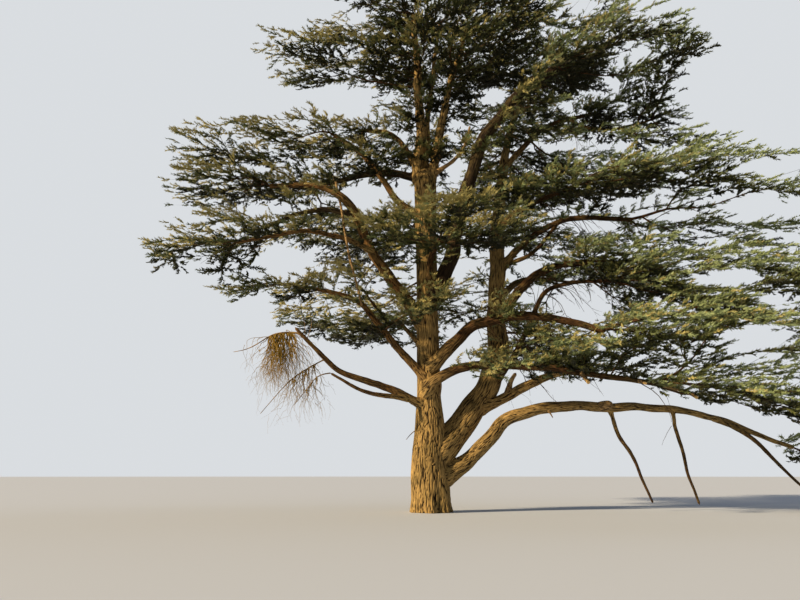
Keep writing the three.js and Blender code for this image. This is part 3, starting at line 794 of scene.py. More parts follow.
def bark_material(name, settings, plate, bough):
    """Fissured cedar bark: weathered golden plates about 100 mm across over dark furrows, split again by
    cracks 20 to 30 mm apart. The dark of the furrows and cracks is partly the bark's own darker inner layer and
    partly painted shade. It is rough and dry with no sheen. Dead wood has the same cracks, but is paler."""
    material, shader = new_material(name, 0.92, 0.2)
    tree = material.node_tree
    grain, relief, slim = (
        add_node(tree, "ShaderNodeAttribute", {"attribute_name": label}).outputs[output]
        for label, output in (("grain", "Vector"), ("relief", "Fac"), ("slim", "Fac")))
    drawn = add_node(tree, "ShaderNodeMapping", inputs={"Vector": grain, "Scale": (1, 1, 0.1)})
    cracks = add_node(tree, "ShaderNodeTexNoise", {"noise_type": "RIDGED_MULTIFRACTAL", "normalize": True}, {
        "Vector": drawn.outputs[0], "Scale": 13.0, "Detail": 3.0, "Roughness": 0.6, "Lacunarity": 2.3})
    streak = add_node(tree, "ShaderNodeTexNoise", inputs={
        "Vector": drawn.outputs[0], "Scale": 40.0, "Detail": 4.0, "Roughness": 0.65})
    blotch = add_node(tree, "ShaderNodeTexNoise", inputs={"Vector": grain, "Scale": 1.3, "Detail": 3.0})
    face = add_node(tree, "ShaderNodeMix", {"data_type": "RGBA"}, {
        "Factor": slim, MIX_FIRST: (*plate, 1), MIX_SECOND: (*bough, 1)})
    patchy = add_node(tree, "ShaderNodeMapRange", inputs={
        "Value": blotch.outputs["Fac"], "From Min": 0.45, "From Max": 0.7, "To Max": 0.55})
    weathered = add_node(tree, "ShaderNodeMix", {"data_type": "RGBA"}, {
        "Factor": patchy.outputs[0], MIX_FIRST: face.outputs[MIX_COLOUR],
        MIX_SECOND: (*settings.weathered, 1)})
    # The colour darkens towards the furrow colour deep in the relief and in the cracks: partly the bark's own
    # darker inner layer, partly painted shade.
    deep = add_node(tree, "ShaderNodeMapRange", inputs={"Value": relief, "From Min": 0.35, "From Max": 0.95})
    split = add_node(tree, "ShaderNodeMapRange", inputs={
        "Value": cracks.outputs["Fac"], "From Min": 0.25, "From Max": 0.55, "To Min": 1.0, "To Max": 0.15})
    height = add_node(tree, "ShaderNodeMath", {"operation": "MULTIPLY"}, {
        0: deep.outputs[0], 1: split.outputs[0]})
    colour = add_node(tree, "ShaderNodeMix", {"data_type": "RGBA"}, {
        "Factor": height.outputs[0], MIX_FIRST: (*settings.furrow, 1),
        MIX_SECOND: weathered.outputs[MIX_COLOUR]})
    fine = add_node(tree, "ShaderNodeMapRange", inputs={
        "Value": streak.outputs["Fac"], "From Min": 0.3, "From Max": 0.7, "To Min": 0.2, "To Max": 1.3})
    worn = add_node(tree, "ShaderNodeVectorMath", {"operation": "SCALE"}, {
        0: colour.outputs[MIX_COLOUR], "Scale": fine.outputs[0]})
    rough = add_node(tree, "ShaderNodeMath", {"operation": "MULTIPLY_ADD"}, {
        0: streak.outputs["Fac"], 1: 0.35, 2: height.outputs[0]})
    bump = add_node(tree, "ShaderNodeBump", inputs={
        "Height": rough.outputs[0], "Strength": 0.9, "Distance": 0.018})
    tree.links.new(worn.outputs[0], shader.inputs["Base Color"])
    tree.links.new(bump.outputs["Normal"], shader.inputs["Normal"])
    return material


def nodes_of(names):
    """The frame's nodes that these limbs stand for."""
    return [node for name in names for node in (name, GOES_ON_IN.get(name)) if node]


def bark_piece(name, limb_names, radius_rule, settings, material):
    """The bark of several limbs as one piece."""
    parts, total = [], 0
    for index, limb_name in enumerate(limb_names):
        limb = LIMBS.get(limb_name) or SMALL[limb_name]
        offset = np.array([3.1, 7.7, 1.3]) * (index + len(name))
        corners, faces, grain, height = bark_tube(limb, radius_rule, settings, offset)
        along = np.repeat(limb.along, (len(corners) - 2) // len(limb.along))
        faded = np.clip(np.append(along, [0, along[-1]]) / GOLDEN_FADES_OVER - 0.1, 0, 1)
        slim = faded * (limb_name not in GOLDEN)
        parts.append((corners, faces + total, grain, height, slim))
        total += len(corners)
    corners, faces, grain, height, slim = (np.concatenate(part) for part in zip(*parts))
    piece = mesh_object(name, corners, faces, (
        ("grain", "FLOAT_VECTOR", grain), ("relief", "FLOAT", height), ("slim", "FLOAT", slim)))
    return placed(piece, nodes_of(name for name in limb_names if name in LIMBS), material)


def cut_ends(stubs, colour):
    """The sawn ends of cut branches: pale fresh wood, closed discs a little thicker than the stub's tip."""
    corners, faces = [], []
    around = np.arange(CUT_SIDES)
    following = (around + 1) % CUT_SIDES
    for stub in stubs:
        one, two = across(stub.path)
        ahead = unit(stub.path[-1] - stub.path[-2])
        rim = spokes(one[-1], two[-1], around / CUT_SIDES * 2 * math.pi) * stub.radii[-1] * 0.95
        back, front = stub.path[-1] - 0.03 * ahead, stub.path[-1] + 0.05 * ahead
        first = len(corners) * (2 * CUT_SIDES + 2)
        corners.append(np.concatenate([rim + back, rim + front, [back, front]]))
        faces += [np.stack([around, following, following + CUT_SIDES], 1) + first,
                  np.stack([around, following + CUT_SIDES, around + CUT_SIDES], 1) + first,
                  np.stack([np.full(CUT_SIDES, 2 * CUT_SIDES), following, around], 1) + first,
                  np.stack([np.full(CUT_SIDES, 2 * CUT_SIDES + 1), around + CUT_SIDES,
                            following + CUT_SIDES], 1) + first]
    material = twig_material("fresh_cut_wood", colour, darkest=0.7, patch_scale=30.0)
    piece = mesh_object("cut_ends", np.concatenate(corners), np.concatenate(faces))
    piece.data.polygons.foreach_set("use_smooth", np.zeros(len(piece.data.polygons), bool))
    return placed(piece, material=material)


# Growth

def foliage_nodes():
    """The names of the frame's masses of foliage."""
    return sorted(name for name in frame["nodes"] if name.startswith("foliage"))


def masses_held_by(own, every):
    """The masses that a piece of needles stands for: those in whose box it has a fair share of the sprays.
    The greens run through the whole tree, so most masses are stood for by several pieces together."""
    held = []
    for node in foliage_nodes():
        own_there, all_there = (in_box(places, *map(np.array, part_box(node))).sum() for places in (own, every))
        if own_there and own_there >= A_FAIR_SHARE * all_there:
            held.append(node)
    return held


def plate_axes(corners):
    """A mass's middle and its own axes: along, across and up. One with no clear tilt keeps level layers."""
    middle = corners.mean(0)
    _, _, axes = np.linalg.svd(corners - middle, full_matrices=False)
    axes = axes * np.where(axes[:, [2]] < 0, -1, 1)
    return middle, axes if axes[2][2] > 0.88 else np.eye(3)


def inside(points, corners, faces):
    """Which points lie in a closed mesh: all its triangles together fill the whole view from there."""
    seen = np.zeros(len(points))
    for face in faces:
        a, b, c = (corners[k] - points for k in face)
        la, lb, lc = (np.linalg.norm(v, axis=1) for v in (a, b, c))
        top = np.einsum("ij,ij->i", a, np.cross(b, c))
        bottom = (la * lb * lc + (a * b).sum(1) * lc + (b * c).sum(1) * la + (a * c).sum(1) * lb)
        seen += 2 * np.arctan2(top, bottom)
    return np.abs(seen) > 2 * math.pi


def fill_mass(node, spacing, layer_spacing, rng):
    """Places inside a mass, in layers that undulate and follow its own tilt. A few lie in a fringe outside
    it, so that it has no hard edge."""
    corners, faces = merged(node)
    skin = BVHTree.FromPolygons(corners.tolist(), faces.tolist())
    middle, axes = plate_axes(corners)
    local = (corners - middle) @ axes.T
    low, high = local.min(0) - 2 * FRINGE, local.max(0) + 2 * FRINGE
    lines = [np.arange(*line) for line in zip(low, high, (spacing, spacing, layer_spacing))]
    grid = np.stack(np.meshgrid(*lines, indexing="ij"), 3).reshape(-1, 3)
    grid += rng.uniform(-0.5, 0.5, grid.shape) * [spacing, spacing, layer_spacing * 0.7]
    for place in grid:
        place[2] += 0.3 * noise.noise(Vector((place[0] / 1.6, place[1] / 1.6, local[:, 0].min())))
    world = grid @ axes + middle
    away = np.array([skin.find_nearest(Vector(place))[3] for place in world])
    within = inside(world, corners, faces)
    # Growth is dense near a mass's skin, thinner deep inside, and thins out through the fringe.
    chance = np.where(within, np.where(away < 0.6, 1, 0.45), 0.9 * np.exp(-(away / FRINGE) ** 2))
    openness = OPENNESS["airy" if any(word in node for word in AIRY) else "dense"]
    grows = (within | (away < 2 * FRINGE)) & (noise_at(world, CLUMP) > openness)
    return world[(rng.random(len(world)) < chance) & grows]


def side_pads(rng, spacing):
    """Places for the side branches of each bough: flat pads of twigs to its left and right, past the bare
    stretch near the trunk. An upright leader bears them all round."""
    places = []
    for name, limb in LIMBS.items():
        share, gap, reach = PADS.get(name, PADS["others"])
        at = share * limb.along[-1]
        side = 1
        while at < limb.along[-1]:
            index = int(np.searchsorted(limb.along, at))
            start = limb.path[index]
            heading = unit(start - limb.path[index - 1])
            if abs(heading[2]) > 0.8:
                bearing = rng.uniform(0, 2 * math.pi)
            else:
                bearing = math.atan2(heading[1], heading[0]) + side * rng.uniform(0.7, 1.4)
            out = np.array([math.cos(bearing), math.sin(bearing), rng.uniform(-0.05, 0.3)])
            sideways = np.array([-out[1], out[0], 0])
            long = reach * rng.uniform(0.6, 1.15)
            count = int(long * 0.75 * long / spacing ** 2)
            along = long * rng.uniform(0.2, 1, count)
            swing = 0.45 * long * rng.uniform(-1, 1, count) * np.sin(math.pi * (along / long) ** 0.8)
            level = rng.normal(0, 0.11, count) - 0.05 * along ** 2
            places.append(start + out * along[:, None] + sideways * swing[:, None] + UP * level[:, None])
            at += gap * rng.uniform(0.6, 1.4)
            side = -side
    places = np.concatenate(places)
    return places[places[:, 2] > LOWEST_PAD]


def growth_between(rng, spacing):
    """Places for the thin growth between the plates."""
    places = []
    for left, top, right, bottom, near, far in BETWEEN.values():
        corners = placed_at(np.array([left, right]), np.array([bottom, top]), np.array([near, near]))
        wide, _, high = corners[1] - corners[0]
        count = int(wide * high * (far - near) / (spacing ** 2 * 0.95))
        u = rng.uniform(left, right, count)
        v = rng.uniform(top, bottom, count)
        y = rng.uniform(near, far, count)
        places.append(placed_at(u, v, y))
    places = np.concatenate(places)
    return places[noise_at(places, CLUMP) > OPENNESS["airy"]]


def rim_shoots(places, rng):
    """Short runs of places beyond the rims of the plates, outwards and a little up. They give the outline
    its spiky tips."""
    tree = kd_tree(places)
    runs = []
    # Shoots leave most places that have nothing beyond them, and a few that have nothing above them.
    for place, outward, luck in zip(places, unit(places * [1, 1, 0]), rng.random(len(places))):
        if luck < 0.55 and len(tree.find_range(place + 0.75 * outward, 0.6)) <= 2:
            heading = outward + rng.normal([0, 0, 0.1], [0.3, 0.3, 0.2])
        elif luck > 0.93 and len(tree.find_range(place + [0, 0, 0.7], 0.55)) <= 1:
            heading = 0.7 * outward + rng.normal([0, 0, 0.7], [0.3, 0.3, 0.2])
        else:
            continue
        heading = unit(heading)
        runs += [place + heading * 0.26 * step for step in range(1, rng.integers(3, 5))]
    return np.array(runs)


def limb_seeds():
    """Points along every limb's middle that branches can start from, with the limb's radius."""
    points, radii = [], []
    for limb in [*LIMBS.values(), *(small for small in SMALL.values() if small.leafy)]:
        at = np.arange(0, limb.along[-1], SEED_SPACING)
        points.append(points_at(at, limb.along, limb.path))
        radii.append(np.interp(at, limb.along, limb.radii))
    return np.concatenate(points), np.concatenate(radii)


class Growth:
    """Branches that join every place to the limbs. Each place goes to the neighbour that gives it the
    shortest way back to a limb, weighed against a short hop, so that twigs gather into branches."""

    def __init__(self, seeds, seed_radii, places, squash, gather, tip_radius, neighbours=18):
        self.first = len(seeds)
        points = np.concatenate([seeds, places])
        self.parent = np.full(len(points), -1)
        self.reached = []
        near = self.neighbours_of(points * [1, 1, squash], neighbours)
        distance_back = np.zeros(len(points))
        taken = np.zeros(len(points), bool)
        taken[:self.first] = True
        queue = [(hop, place, seed) for seed in range(self.first) for place, hop in near[seed]
                 if place >= self.first]
        heapq.heapify(queue)
        while queue:
            _, place, bearer = heapq.heappop(queue)
            if taken[place]:
                continue
            taken[place] = True
            self.parent[place] = bearer
            self.reached.append(place)
            hops = dict(near[place])
            distance_back[place] = distance_back[bearer] + hops.get(bearer, 0.3)
            for following, hop in near[place]:
                if not taken[following]:
                    heapq.heappush(queue, (gather * distance_back[place] + hop, following, place))
        self.points = points
        self.order()
        self.thicken(seed_radii, tip_radius)

    def neighbours_of(self, stretched, count):
        """For each place, the others that it can be joined to and how far away each is."""
        tree = kd_tree(stretched)
        near = [[] for _ in stretched]
        for index in range(self.first, len(stretched)):
            for _, other, away in tree.find_n(stretched[index], count):
                if other != index and away < LONGEST_HOP:
                    near[index].append((other, away))
                    near[other].append((index, away))
        return near

    def order(self):
        """Counts the tips that each place feeds, and finds each place's main child."""
        self.tips = np.zeros(len(self.points))
        self.main = np.full(len(self.points), -1)
        for place in reversed(self.reached):
            if self.tips[place] == 0:
                self.tips[place] = 1
            bearer = self.parent[place]
            self.tips[bearer] += self.tips[place]
        for place in self.reached:
            bearer = self.parent[place]
            best = self.main[bearer]
            if bearer >= self.first and (best < 0 or self.tips[place] > self.tips[best]):
                self.main[bearer] = place

    def smooth(self, passes):
        """Straightens each branch a little, as a growing one does."""
        inner = np.array([p for p in self.reached if self.main[p] >= 0])
        for _ in range(passes):
            middle = (self.points[self.parent[inner]] + self.points[self.main[inner]]) / 2
            self.points[inner] += 0.5 * (middle - self.points[inner])

    def thicken(self, seed_radii, tip_radius, power=0.45):
        """A branch's section grows with the number of tips that it feeds."""
        self.radii = tip_radius * np.maximum(self.tips, 1) ** power
        self.radii[:self.first] = seed_radii
        for place in self.reached:
            bearer = self.parent[place]
            self.radii[place] = min(self.radii[place], 0.85 * self.radii[bearer])

    def chains(self):
        """Each branch from where it leaves its bearer to its tip, as lists of places."""
        runs = []
        for place in self.reached:
            bearer = self.parent[place]
            if bearer < self.first or self.main[bearer] != place:
                run = [bearer, place]
                while self.main[run[-1]] >= 0:
                    run.append(self.main[run[-1]])
                runs.append(run)
        return runs


def new_tree(name, inputs):
    """A new node tree with its named inputs and its geometry output."""
    tree = bpy.data.node_groups.new(name, "GeometryNodeTree")
    tree.interface.new_socket("Geometry", in_out="OUTPUT", socket_type="NodeSocketGeometry")
    for label, kind, default in inputs:
        socket = tree.interface.new_socket(label, in_out="INPUT", socket_type=kind)
        if default is not None:
            socket.default_value = default
    return tree, tree.nodes.new("NodeGroupInput"), tree.nodes.new("NodeGroupOutput")


def finish_tree(tree, made, start, end):
    """Ends a tree: what its nodes repeat becomes real, and takes the tree's material."""
    real = add_node(tree, "GeometryNodeRealizeInstances", inputs={"Geometry": made.outputs[0]})
    coloured = add_node(tree, "GeometryNodeSetMaterial", inputs={
        "Geometry": real.outputs[0], "Material": start.outputs["Material"]})
    tree.links.new(coloured.outputs[0], end.inputs["Geometry"])
    return tree


def tube_tree():
    """Geometry nodes that turn paths of edges, each point with its thickness, into closed tapering tubes."""
    tree, start, end = new_tree("Branches along paths", (
        ("Geometry", "NodeSocketGeometry", None),
        ("Sides", "NodeSocketInt", 3),
        ("Material", "NodeSocketMaterial", None),
    ))
    radius = add_node(tree, "GeometryNodeInputNamedAttribute", {"data_type": "FLOAT"}, {"Name": "thickness"})
    paths = add_node(tree, "GeometryNodeMeshToCurve", inputs={"Mesh": start.outputs["Geometry"]})
    section = add_node(tree, "GeometryNodeCurvePrimitiveCircle", inputs={
        "Resolution": start.outputs["Sides"], "Radius": 1.0})
    tubes = add_node(tree, "GeometryNodeCurveToMesh", inputs={
        "Curve": paths.outputs[0], "Profile Curve": section.outputs[0], "Scale": radius.outputs[0],
        "Fill Caps": True})
    return finish_tree(tree, tubes, start, end)


def carrier(name, points, edges, attributes):
    """An object of bare points, or of paths of edges, for a node tree to work on."""
    mesh = bpy.data.meshes.new(name)
    mesh.from_pydata(points, edges, [])
    for label, kind, values in attributes:
        add_attribute(mesh, label, kind, values)
    return linked(name, mesh)


def evaluated(bare, tree, values, name):
    """Runs a node tree on a carrier and returns the plain mesh object that it makes."""
    modifier = bare.modifiers.new("Grow", "NODES")
    modifier.node_group = tree
    for item in tree.interface.items_tree:
        if item.in_out == "INPUT" and item.name in values:
            modifier[item.identifier] = values[item.name]
    bpy.context.view_layer.update()
    depsgraph = bpy.context.evaluated_depsgraph_get()
    mesh = bpy.data.meshes.new_from_object(bare.evaluated_get(depsgraph))
    mesh.name = name
    bpy.data.objects.remove(bare)
    return linked(name, mesh)


def twig_piece(bare, sides, material, name, nodes=()):
    """A finished piece of tubes along a carrier's paths."""
    tubes = bpy.data.node_groups.get("Branches along paths") or tube_tree()
    piece = evaluated(bare, tubes, {"Sides": sides, "Material": material}, name)
    return placed(piece, nodes)


def branch_paths(name, growth, chains):
    """A carrier with one path for each branch, with the thickness at each point."""
    points, thickness, edges = [], [], []
    for run in chains:
        radii = growth.radii[run].copy()
        radii[0] = radii[1]
        radii[-1] *= 0.35
        edges += [(len(points) + i, len(points) + i + 1) for i in range(len(run) - 1)]
        points += growth.points[run].tolist()
        thickness += radii.tolist()
    return carrier(name, points, edges, [("thickness", "FLOAT", thickness)])


# Needles

def shoot_tree():
    """Geometry nodes for one spray: slender needles that lean forward all round a short shoot."""
    tree, start, end = new_tree("Needle spray", (*SPRAY_INPUTS, ("Seed", "NodeSocketInt", 0)))
    seed, long, wide = (start.outputs[label] for label in ("Seed", "Shoot length", "Needle width"))
    triangle = add_node(tree, "GeometryNodeMeshCircle", {"fill_type": "NGON"}, {"Vertices": 3, "Radius": 1.0})
    needle = pointed(tree, triangle, start.outputs["Needle length"], wide)
    core_width = add_node(tree, "ShaderNodeMath", {"operation": "MULTIPLY"}, {0: wide, 1: 1.15})
    flat_core = pointed(tree, triangle, long, core_width.outputs[0])
    upright_core = add_node(tree, "GeometryNodeTransform", inputs={
        "Geometry": flat_core.outputs[0], "Rotation": (math.radians(90), 0, 0)})
    step = add_node(tree, "ShaderNodeMath", {"operation": "DIVIDE"}, {0: long, 1: start.outputs["Needles"]})
    offset = add_node(tree, "ShaderNodeCombineXYZ", inputs={"X": step.outputs[0]})
    axis = add_node(tree, "GeometryNodeMeshLine", inputs={
        "Count": start.outputs["Needles"], "Offset": offset.outputs[0]})
    other_seed = add_node(tree, "ShaderNodeMath", {"operation": "ADD"}, {0: seed, 1: 100.0})
    lean, spin, size = (
        add_node(tree, "FunctionNodeRandomValue", {"data_type": "FLOAT"}, {
            LEAST: least, MOST: most, RANDOM_SEED: chosen}).outputs[RANDOM_FLOAT]
        for least, most, chosen in (
            (math.radians(18), math.radians(52), seed),
            (math.radians(-40), math.radians(220), other_seed.outputs[0]),
            (0.75, 1.15, seed)))
    leaning, spinning = (
        add_node(tree, "FunctionNodeAxisAngleToRotation", inputs={"Axis": about, "Angle": angle}).outputs[0]
        for about, angle in (((0, 0, 1), lean), ((1, 0, 0), spin)))
    turn = add_node(tree, "FunctionNodeRotateRotation", {"rotation_space": "GLOBAL"}, {
        "Rotation": leaning, "Rotate By": spinning})
    needles = add_node(tree, "GeometryNodeInstanceOnPoints", inputs={
        "Points": axis.outputs[0], "Instance": needle.outputs[0], "Rotation": turn.outputs[0], "Scale": size})
    both = add_node(tree, "GeometryNodeJoinGeometry")
    for part in (needles, flat_core, upright_core):
        tree.links.new(part.outputs[0], both.inputs[0])
    real = add_node(tree, "GeometryNodeRealizeInstances", inputs={"Geometry": both.outputs[0]})
    tree.links.new(real.outputs[0], end.inputs["Geometry"])
    return tree


def pointed(tree, triangle, long, wide):
    """An equal-sided triangle drawn out into a slender point that starts at the origin and runs along X."""
    scale = add_node(tree, "ShaderNodeCombineXYZ", inputs={"Z": 1.0})
    place = add_node(tree, "ShaderNodeCombineXYZ")
    for factor, length_socket, target in ((1 / 1.5, long, scale.inputs["X"]),
                                          (1 / math.sqrt(3), wide, scale.inputs["Y"]),
                                          (1 / 3, long, place.inputs["X"])):
        part = add_node(tree, "ShaderNodeMath", {"operation": "MULTIPLY"}, {0: length_socket, 1: factor})
        tree.links.new(part.outputs[0], target)
    return add_node(tree, "GeometryNodeTransform", inputs={
        "Geometry": triangle.outputs[0], "Translation": place.outputs[0], "Scale": scale.outputs[0]})


def dressing_tree(spray):
    """Geometry nodes that set one of several sprays at every point, turned and sized as the point says."""
    tree, start, end = new_tree("Sprays on twigs", (
        ("Geometry", "NodeSocketGeometry", None), *SPRAY_INPUTS, ("Material", "NodeSocketMaterial", None)))
    choices = add_node(tree, "GeometryNodeJoinGeometry")
    for seed in range(1, VARIANTS + 1):
        group = add_node(tree, "GeometryNodeGroup", {"node_tree": spray}, {"Seed": seed})
        for label, _, _ in SPRAY_INPUTS:
            tree.links.new(start.outputs[label], group.inputs[label])
        one = add_node(tree, "GeometryNodeGeometryToInstance")
        tree.links.new(group.outputs[0], one.inputs[0])
        tree.links.new(one.outputs[0], choices.inputs[0])
    turn, size, variant = (
        add_node(tree, "GeometryNodeInputNamedAttribute", {"data_type": kind}, {"Name": label}).outputs[0]
        for label, kind in (("turn", "QUATERNION"), ("size", "FLOAT"), ("variant", "INT")))
    sprays = add_node(tree, "GeometryNodeInstanceOnPoints", inputs={
        "Points": start.outputs["Geometry"], "Instance": choices.outputs[0], "Pick Instance": True,
        "Instance Index": variant, "Rotation": turn, "Scale": size})
    return finish_tree(tree, sprays, start, end)


def quaternions(forward, up):
    """Turns that take X to forward and Z as near to up as they can."""
    forward = unit(forward)
    side = unit(np.cross(up, forward))
    (x0, x1, x2), (y0, y1, y2), (z0, z1, z2) = forward.T, side.T, np.cross(forward, side).T
    trace = x0 + y1 + z2
    squares = 1 + np.stack([trace, 2 * x0 - trace, 2 * y1 - trace, 2 * z2 - trace])
    a, b, c, d, e, f = y2 - z1, z0 - x2, x1 - y0, x1 + y0, z0 + x2, y2 + z1
    # Row k is the turn times four of its own part k. The row with the largest part is the most exact.
    rows = np.array([
        [squares[0], a, b, c],
        [a, squares[1], d, e],
        [b, d, squares[2], f],
        [c, e, f, squares[3]],
    ])
    largest, each = squares.argmax(0), np.arange(len(forward))
    return rows[largest, :, each] / (2 * np.sqrt(squares[largest, each]))[:, None]


def turned_sideways(forward, angle):
    """Directions swung about the vertical by an angle each."""
    c, s = np.cos(angle), np.sin(angle)
    x, y, z = forward.T
    return np.stack([c * x - s * y, s * x + c * y, z], 1)


def exposure(places):
    """How much light each place gets: more with little growth over it, and more on the top of a plate than
    on its underside."""
    tree = kd_tree(places)
    over, under = (
        np.array([len(tree.find_range(place + side * LIGHT_FROM, LIGHT_REACH)) for place in places])
        for side in (1, -1))
    open_sky = 1 - np.clip(over / np.percentile(over, 85), 0, 1)
    return 0.5 * open_sky + 0.7 * (under + 1) / (over + under + 2)


def deal_sprays(growth, light, rng):
    """The place, direction, size and light of each spray. On each fine twig one leans out on either side, a
    third lies along it, and one more points forward at each tip. They are combed a little outwards from the
    trunk."""
    places = np.array([p for p in growth.reached if growth.radii[p] < FINE_TWIG])
    bearer = growth.parent[places]
    forward = unit(growth.points[places] - growth.points[bearer])
    outward = unit(growth.points[places] * [1, 1, 0])
    forward = unit(0.65 * forward * [1, 1, 0.5] + 0.35 * outward)
    light = light[places - growth.first]
    sprays = []
    for lean, share_kept in ((-1, 0.95), (1, 0.95), (0, 0.75)):
        kept = rng.random(len(places)) < share_kept
        swing = lean * rng.uniform(math.radians(14), math.radians(46), kept.sum())
        swing += rng.normal(0, 0.2, kept.sum())
        lifted = turned_sideways(forward[kept], swing)
        lifted[:, 2] += rng.normal(0.03, 0.2, kept.sum())
        share = rng.uniform(-0.1, 1.0, kept.sum())[:, None]
        at = growth.points[bearer[kept]] * (1 - share) + growth.points[places[kept]] * share
        sprays.append((at, lifted, rng.uniform(0.75, 1.15, kept.sum()), light[kept]))
    tips = np.array([growth.main[p] < 0 for p in places])
    ahead = forward[tips].copy()
    ahead[:, 2] += rng.normal(0.0, 0.14, len(ahead))
    sizes = rng.uniform(0.85, 1.25, len(ahead))
    sprays.append((growth.points[places][tips], ahead, sizes, light[tips] + 0.1))
    return [np.concatenate(part) for part in zip(*sprays)]


def needle_material(name, colour):
    """Waxy cedar needles: a plain green with a soft gloss from the wax on each needle."""
    material, shader = new_material(name, 0.55, 0.35)
    shader.inputs["Base Color"].default_value = (*colour, 1)
    return material


def twig_material(name, colour, darkest=0.45, patch_scale=9.0):
    """Thin brown twig bark, dull and a little uneven in colour every few centimetres. Fresh cut wood has
    finer and fainter patches."""
    material, shader = new_material(name, 0.9, 0.2)
    tree = material.node_tree
    place = add_node(tree, "ShaderNodeTexCoord")
    patches = add_node(tree, "ShaderNodeTexNoise", inputs={
        "Vector": place.outputs["Object"], "Scale": patch_scale, "Detail": 3.0})
    dark = tuple(c * darkest for c in colour)
    mixed = add_node(tree, "ShaderNodeMix", {"data_type": "RGBA"}, {
        "Factor": patches.outputs["Fac"], MIX_FIRST: (*dark, 1), MIX_SECOND: (*colour, 1)})
    tree.links.new(mixed.outputs[MIX_COLOUR], shader.inputs["Base Color"])
    return material


LIMBS = read_limbs()
SMALL = small_boughs()


class CedarOperator(bpy.types.Operator):
    """Shared by the operators: nothing can be undone, because the frame is loaded once."""
    bl_options = {"REGISTER"}


class CEDAR_OT_camera(CedarOperator):
    """Stand the camera where the tree is seen from"""
    bl_idname = "cedar.camera"
    bl_label = "Camera"

    def execute(self, context):
        stage = context.scene.cedar_stage
        data = bpy.data.cameras.new("camera")
        data.lens = stage.lens
        data.clip_end = 2000
        camera = linked("camera", data)
        camera.location = stage.eye
        camera.rotation_euler = (math.radians(90) + stage.pitch, 0, 0)
        context.scene.camera = camera
        return {"FINISHED"}


class CEDAR_OT_bark(CedarOperator):
    """Put bark on the trunk, the leaders and the boughs"""
    bl_idname = "cedar.bark"
    bl_label = "Bark"

    def execute(self, context):
        settings = context.scene.cedar_bark
        material = bark_material("fissured_cedar_bark", settings, settings.plate, settings.bough)
        bleached = bark_material("bleached_dead_wood", settings, settings.dead_wood, settings.dead_wood)
        column = LIMBS["trunk"]
        path, radii = rounded_path(column.path, column.radii, TRUNK_STEP, 0, seed=0)
        path[:, 2] -= path[0][2]
        LIMBS["trunk"] = Limb(path, radii)
        bark_piece("trunk_bark", ["trunk"], trunk_profile(), settings, material)
        rule = with_collar(settings.collar)
        bark_piece("second_trunk_bark", ["side_trunk_foot"], rule, settings, material)
        # Painted shade: the boughs in the crown's shade get a dark bark that stands for that shade.
        painted_shade_bark = bark_material("dark_shaded_bark", settings, settings.shaded, settings.shaded)
        bark_piece("shaded_bough_bark", DARK, rule, settings, painted_shade_bark)
        borne = [name for name in LIMBS if name not in ("trunk", "side_trunk_foot", *DARK)]
        leaders = [name for name in borne if "leader" in name]
        left = [name for name in borne if "left" in name and name not in leaders]
        rest = [name for name in borne if name not in leaders + left]
        low = [name for name in rest if "low" in name or "hanging" in name or name == "right_lit_bough"]
        high = [name for name in rest if name not in low]
        bark_piece("leader_bark", leaders, with_collar(0.25 * settings.collar), settings, material)
        # Painted light: the left boughs get a paler bark that stands for the sun falling on them.
        sunny = bark_material("sunlit_bough_bark", settings, settings.plate, settings.lit_bough)
        bark_piece("left_bough_bark", left, rule, settings, sunny)
        bark_piece("low_right_bough_bark", low, rule, settings, material)
        bark_piece("high_right_bough_bark", high, rule, settings, material)
        leafy = [name for name in SMALL if SMALL[name].leafy]
        bark_piece("small_bough_bark", leafy, rule, settings, material)
        bark_piece("dead_wood", [name for name in SMALL if name not in leafy], rule, settings, bleached)
        cut_ends([SMALL[name] for name in SMALL if "cut" in name], settings.cut_wood)
        return {"FINISHED"}


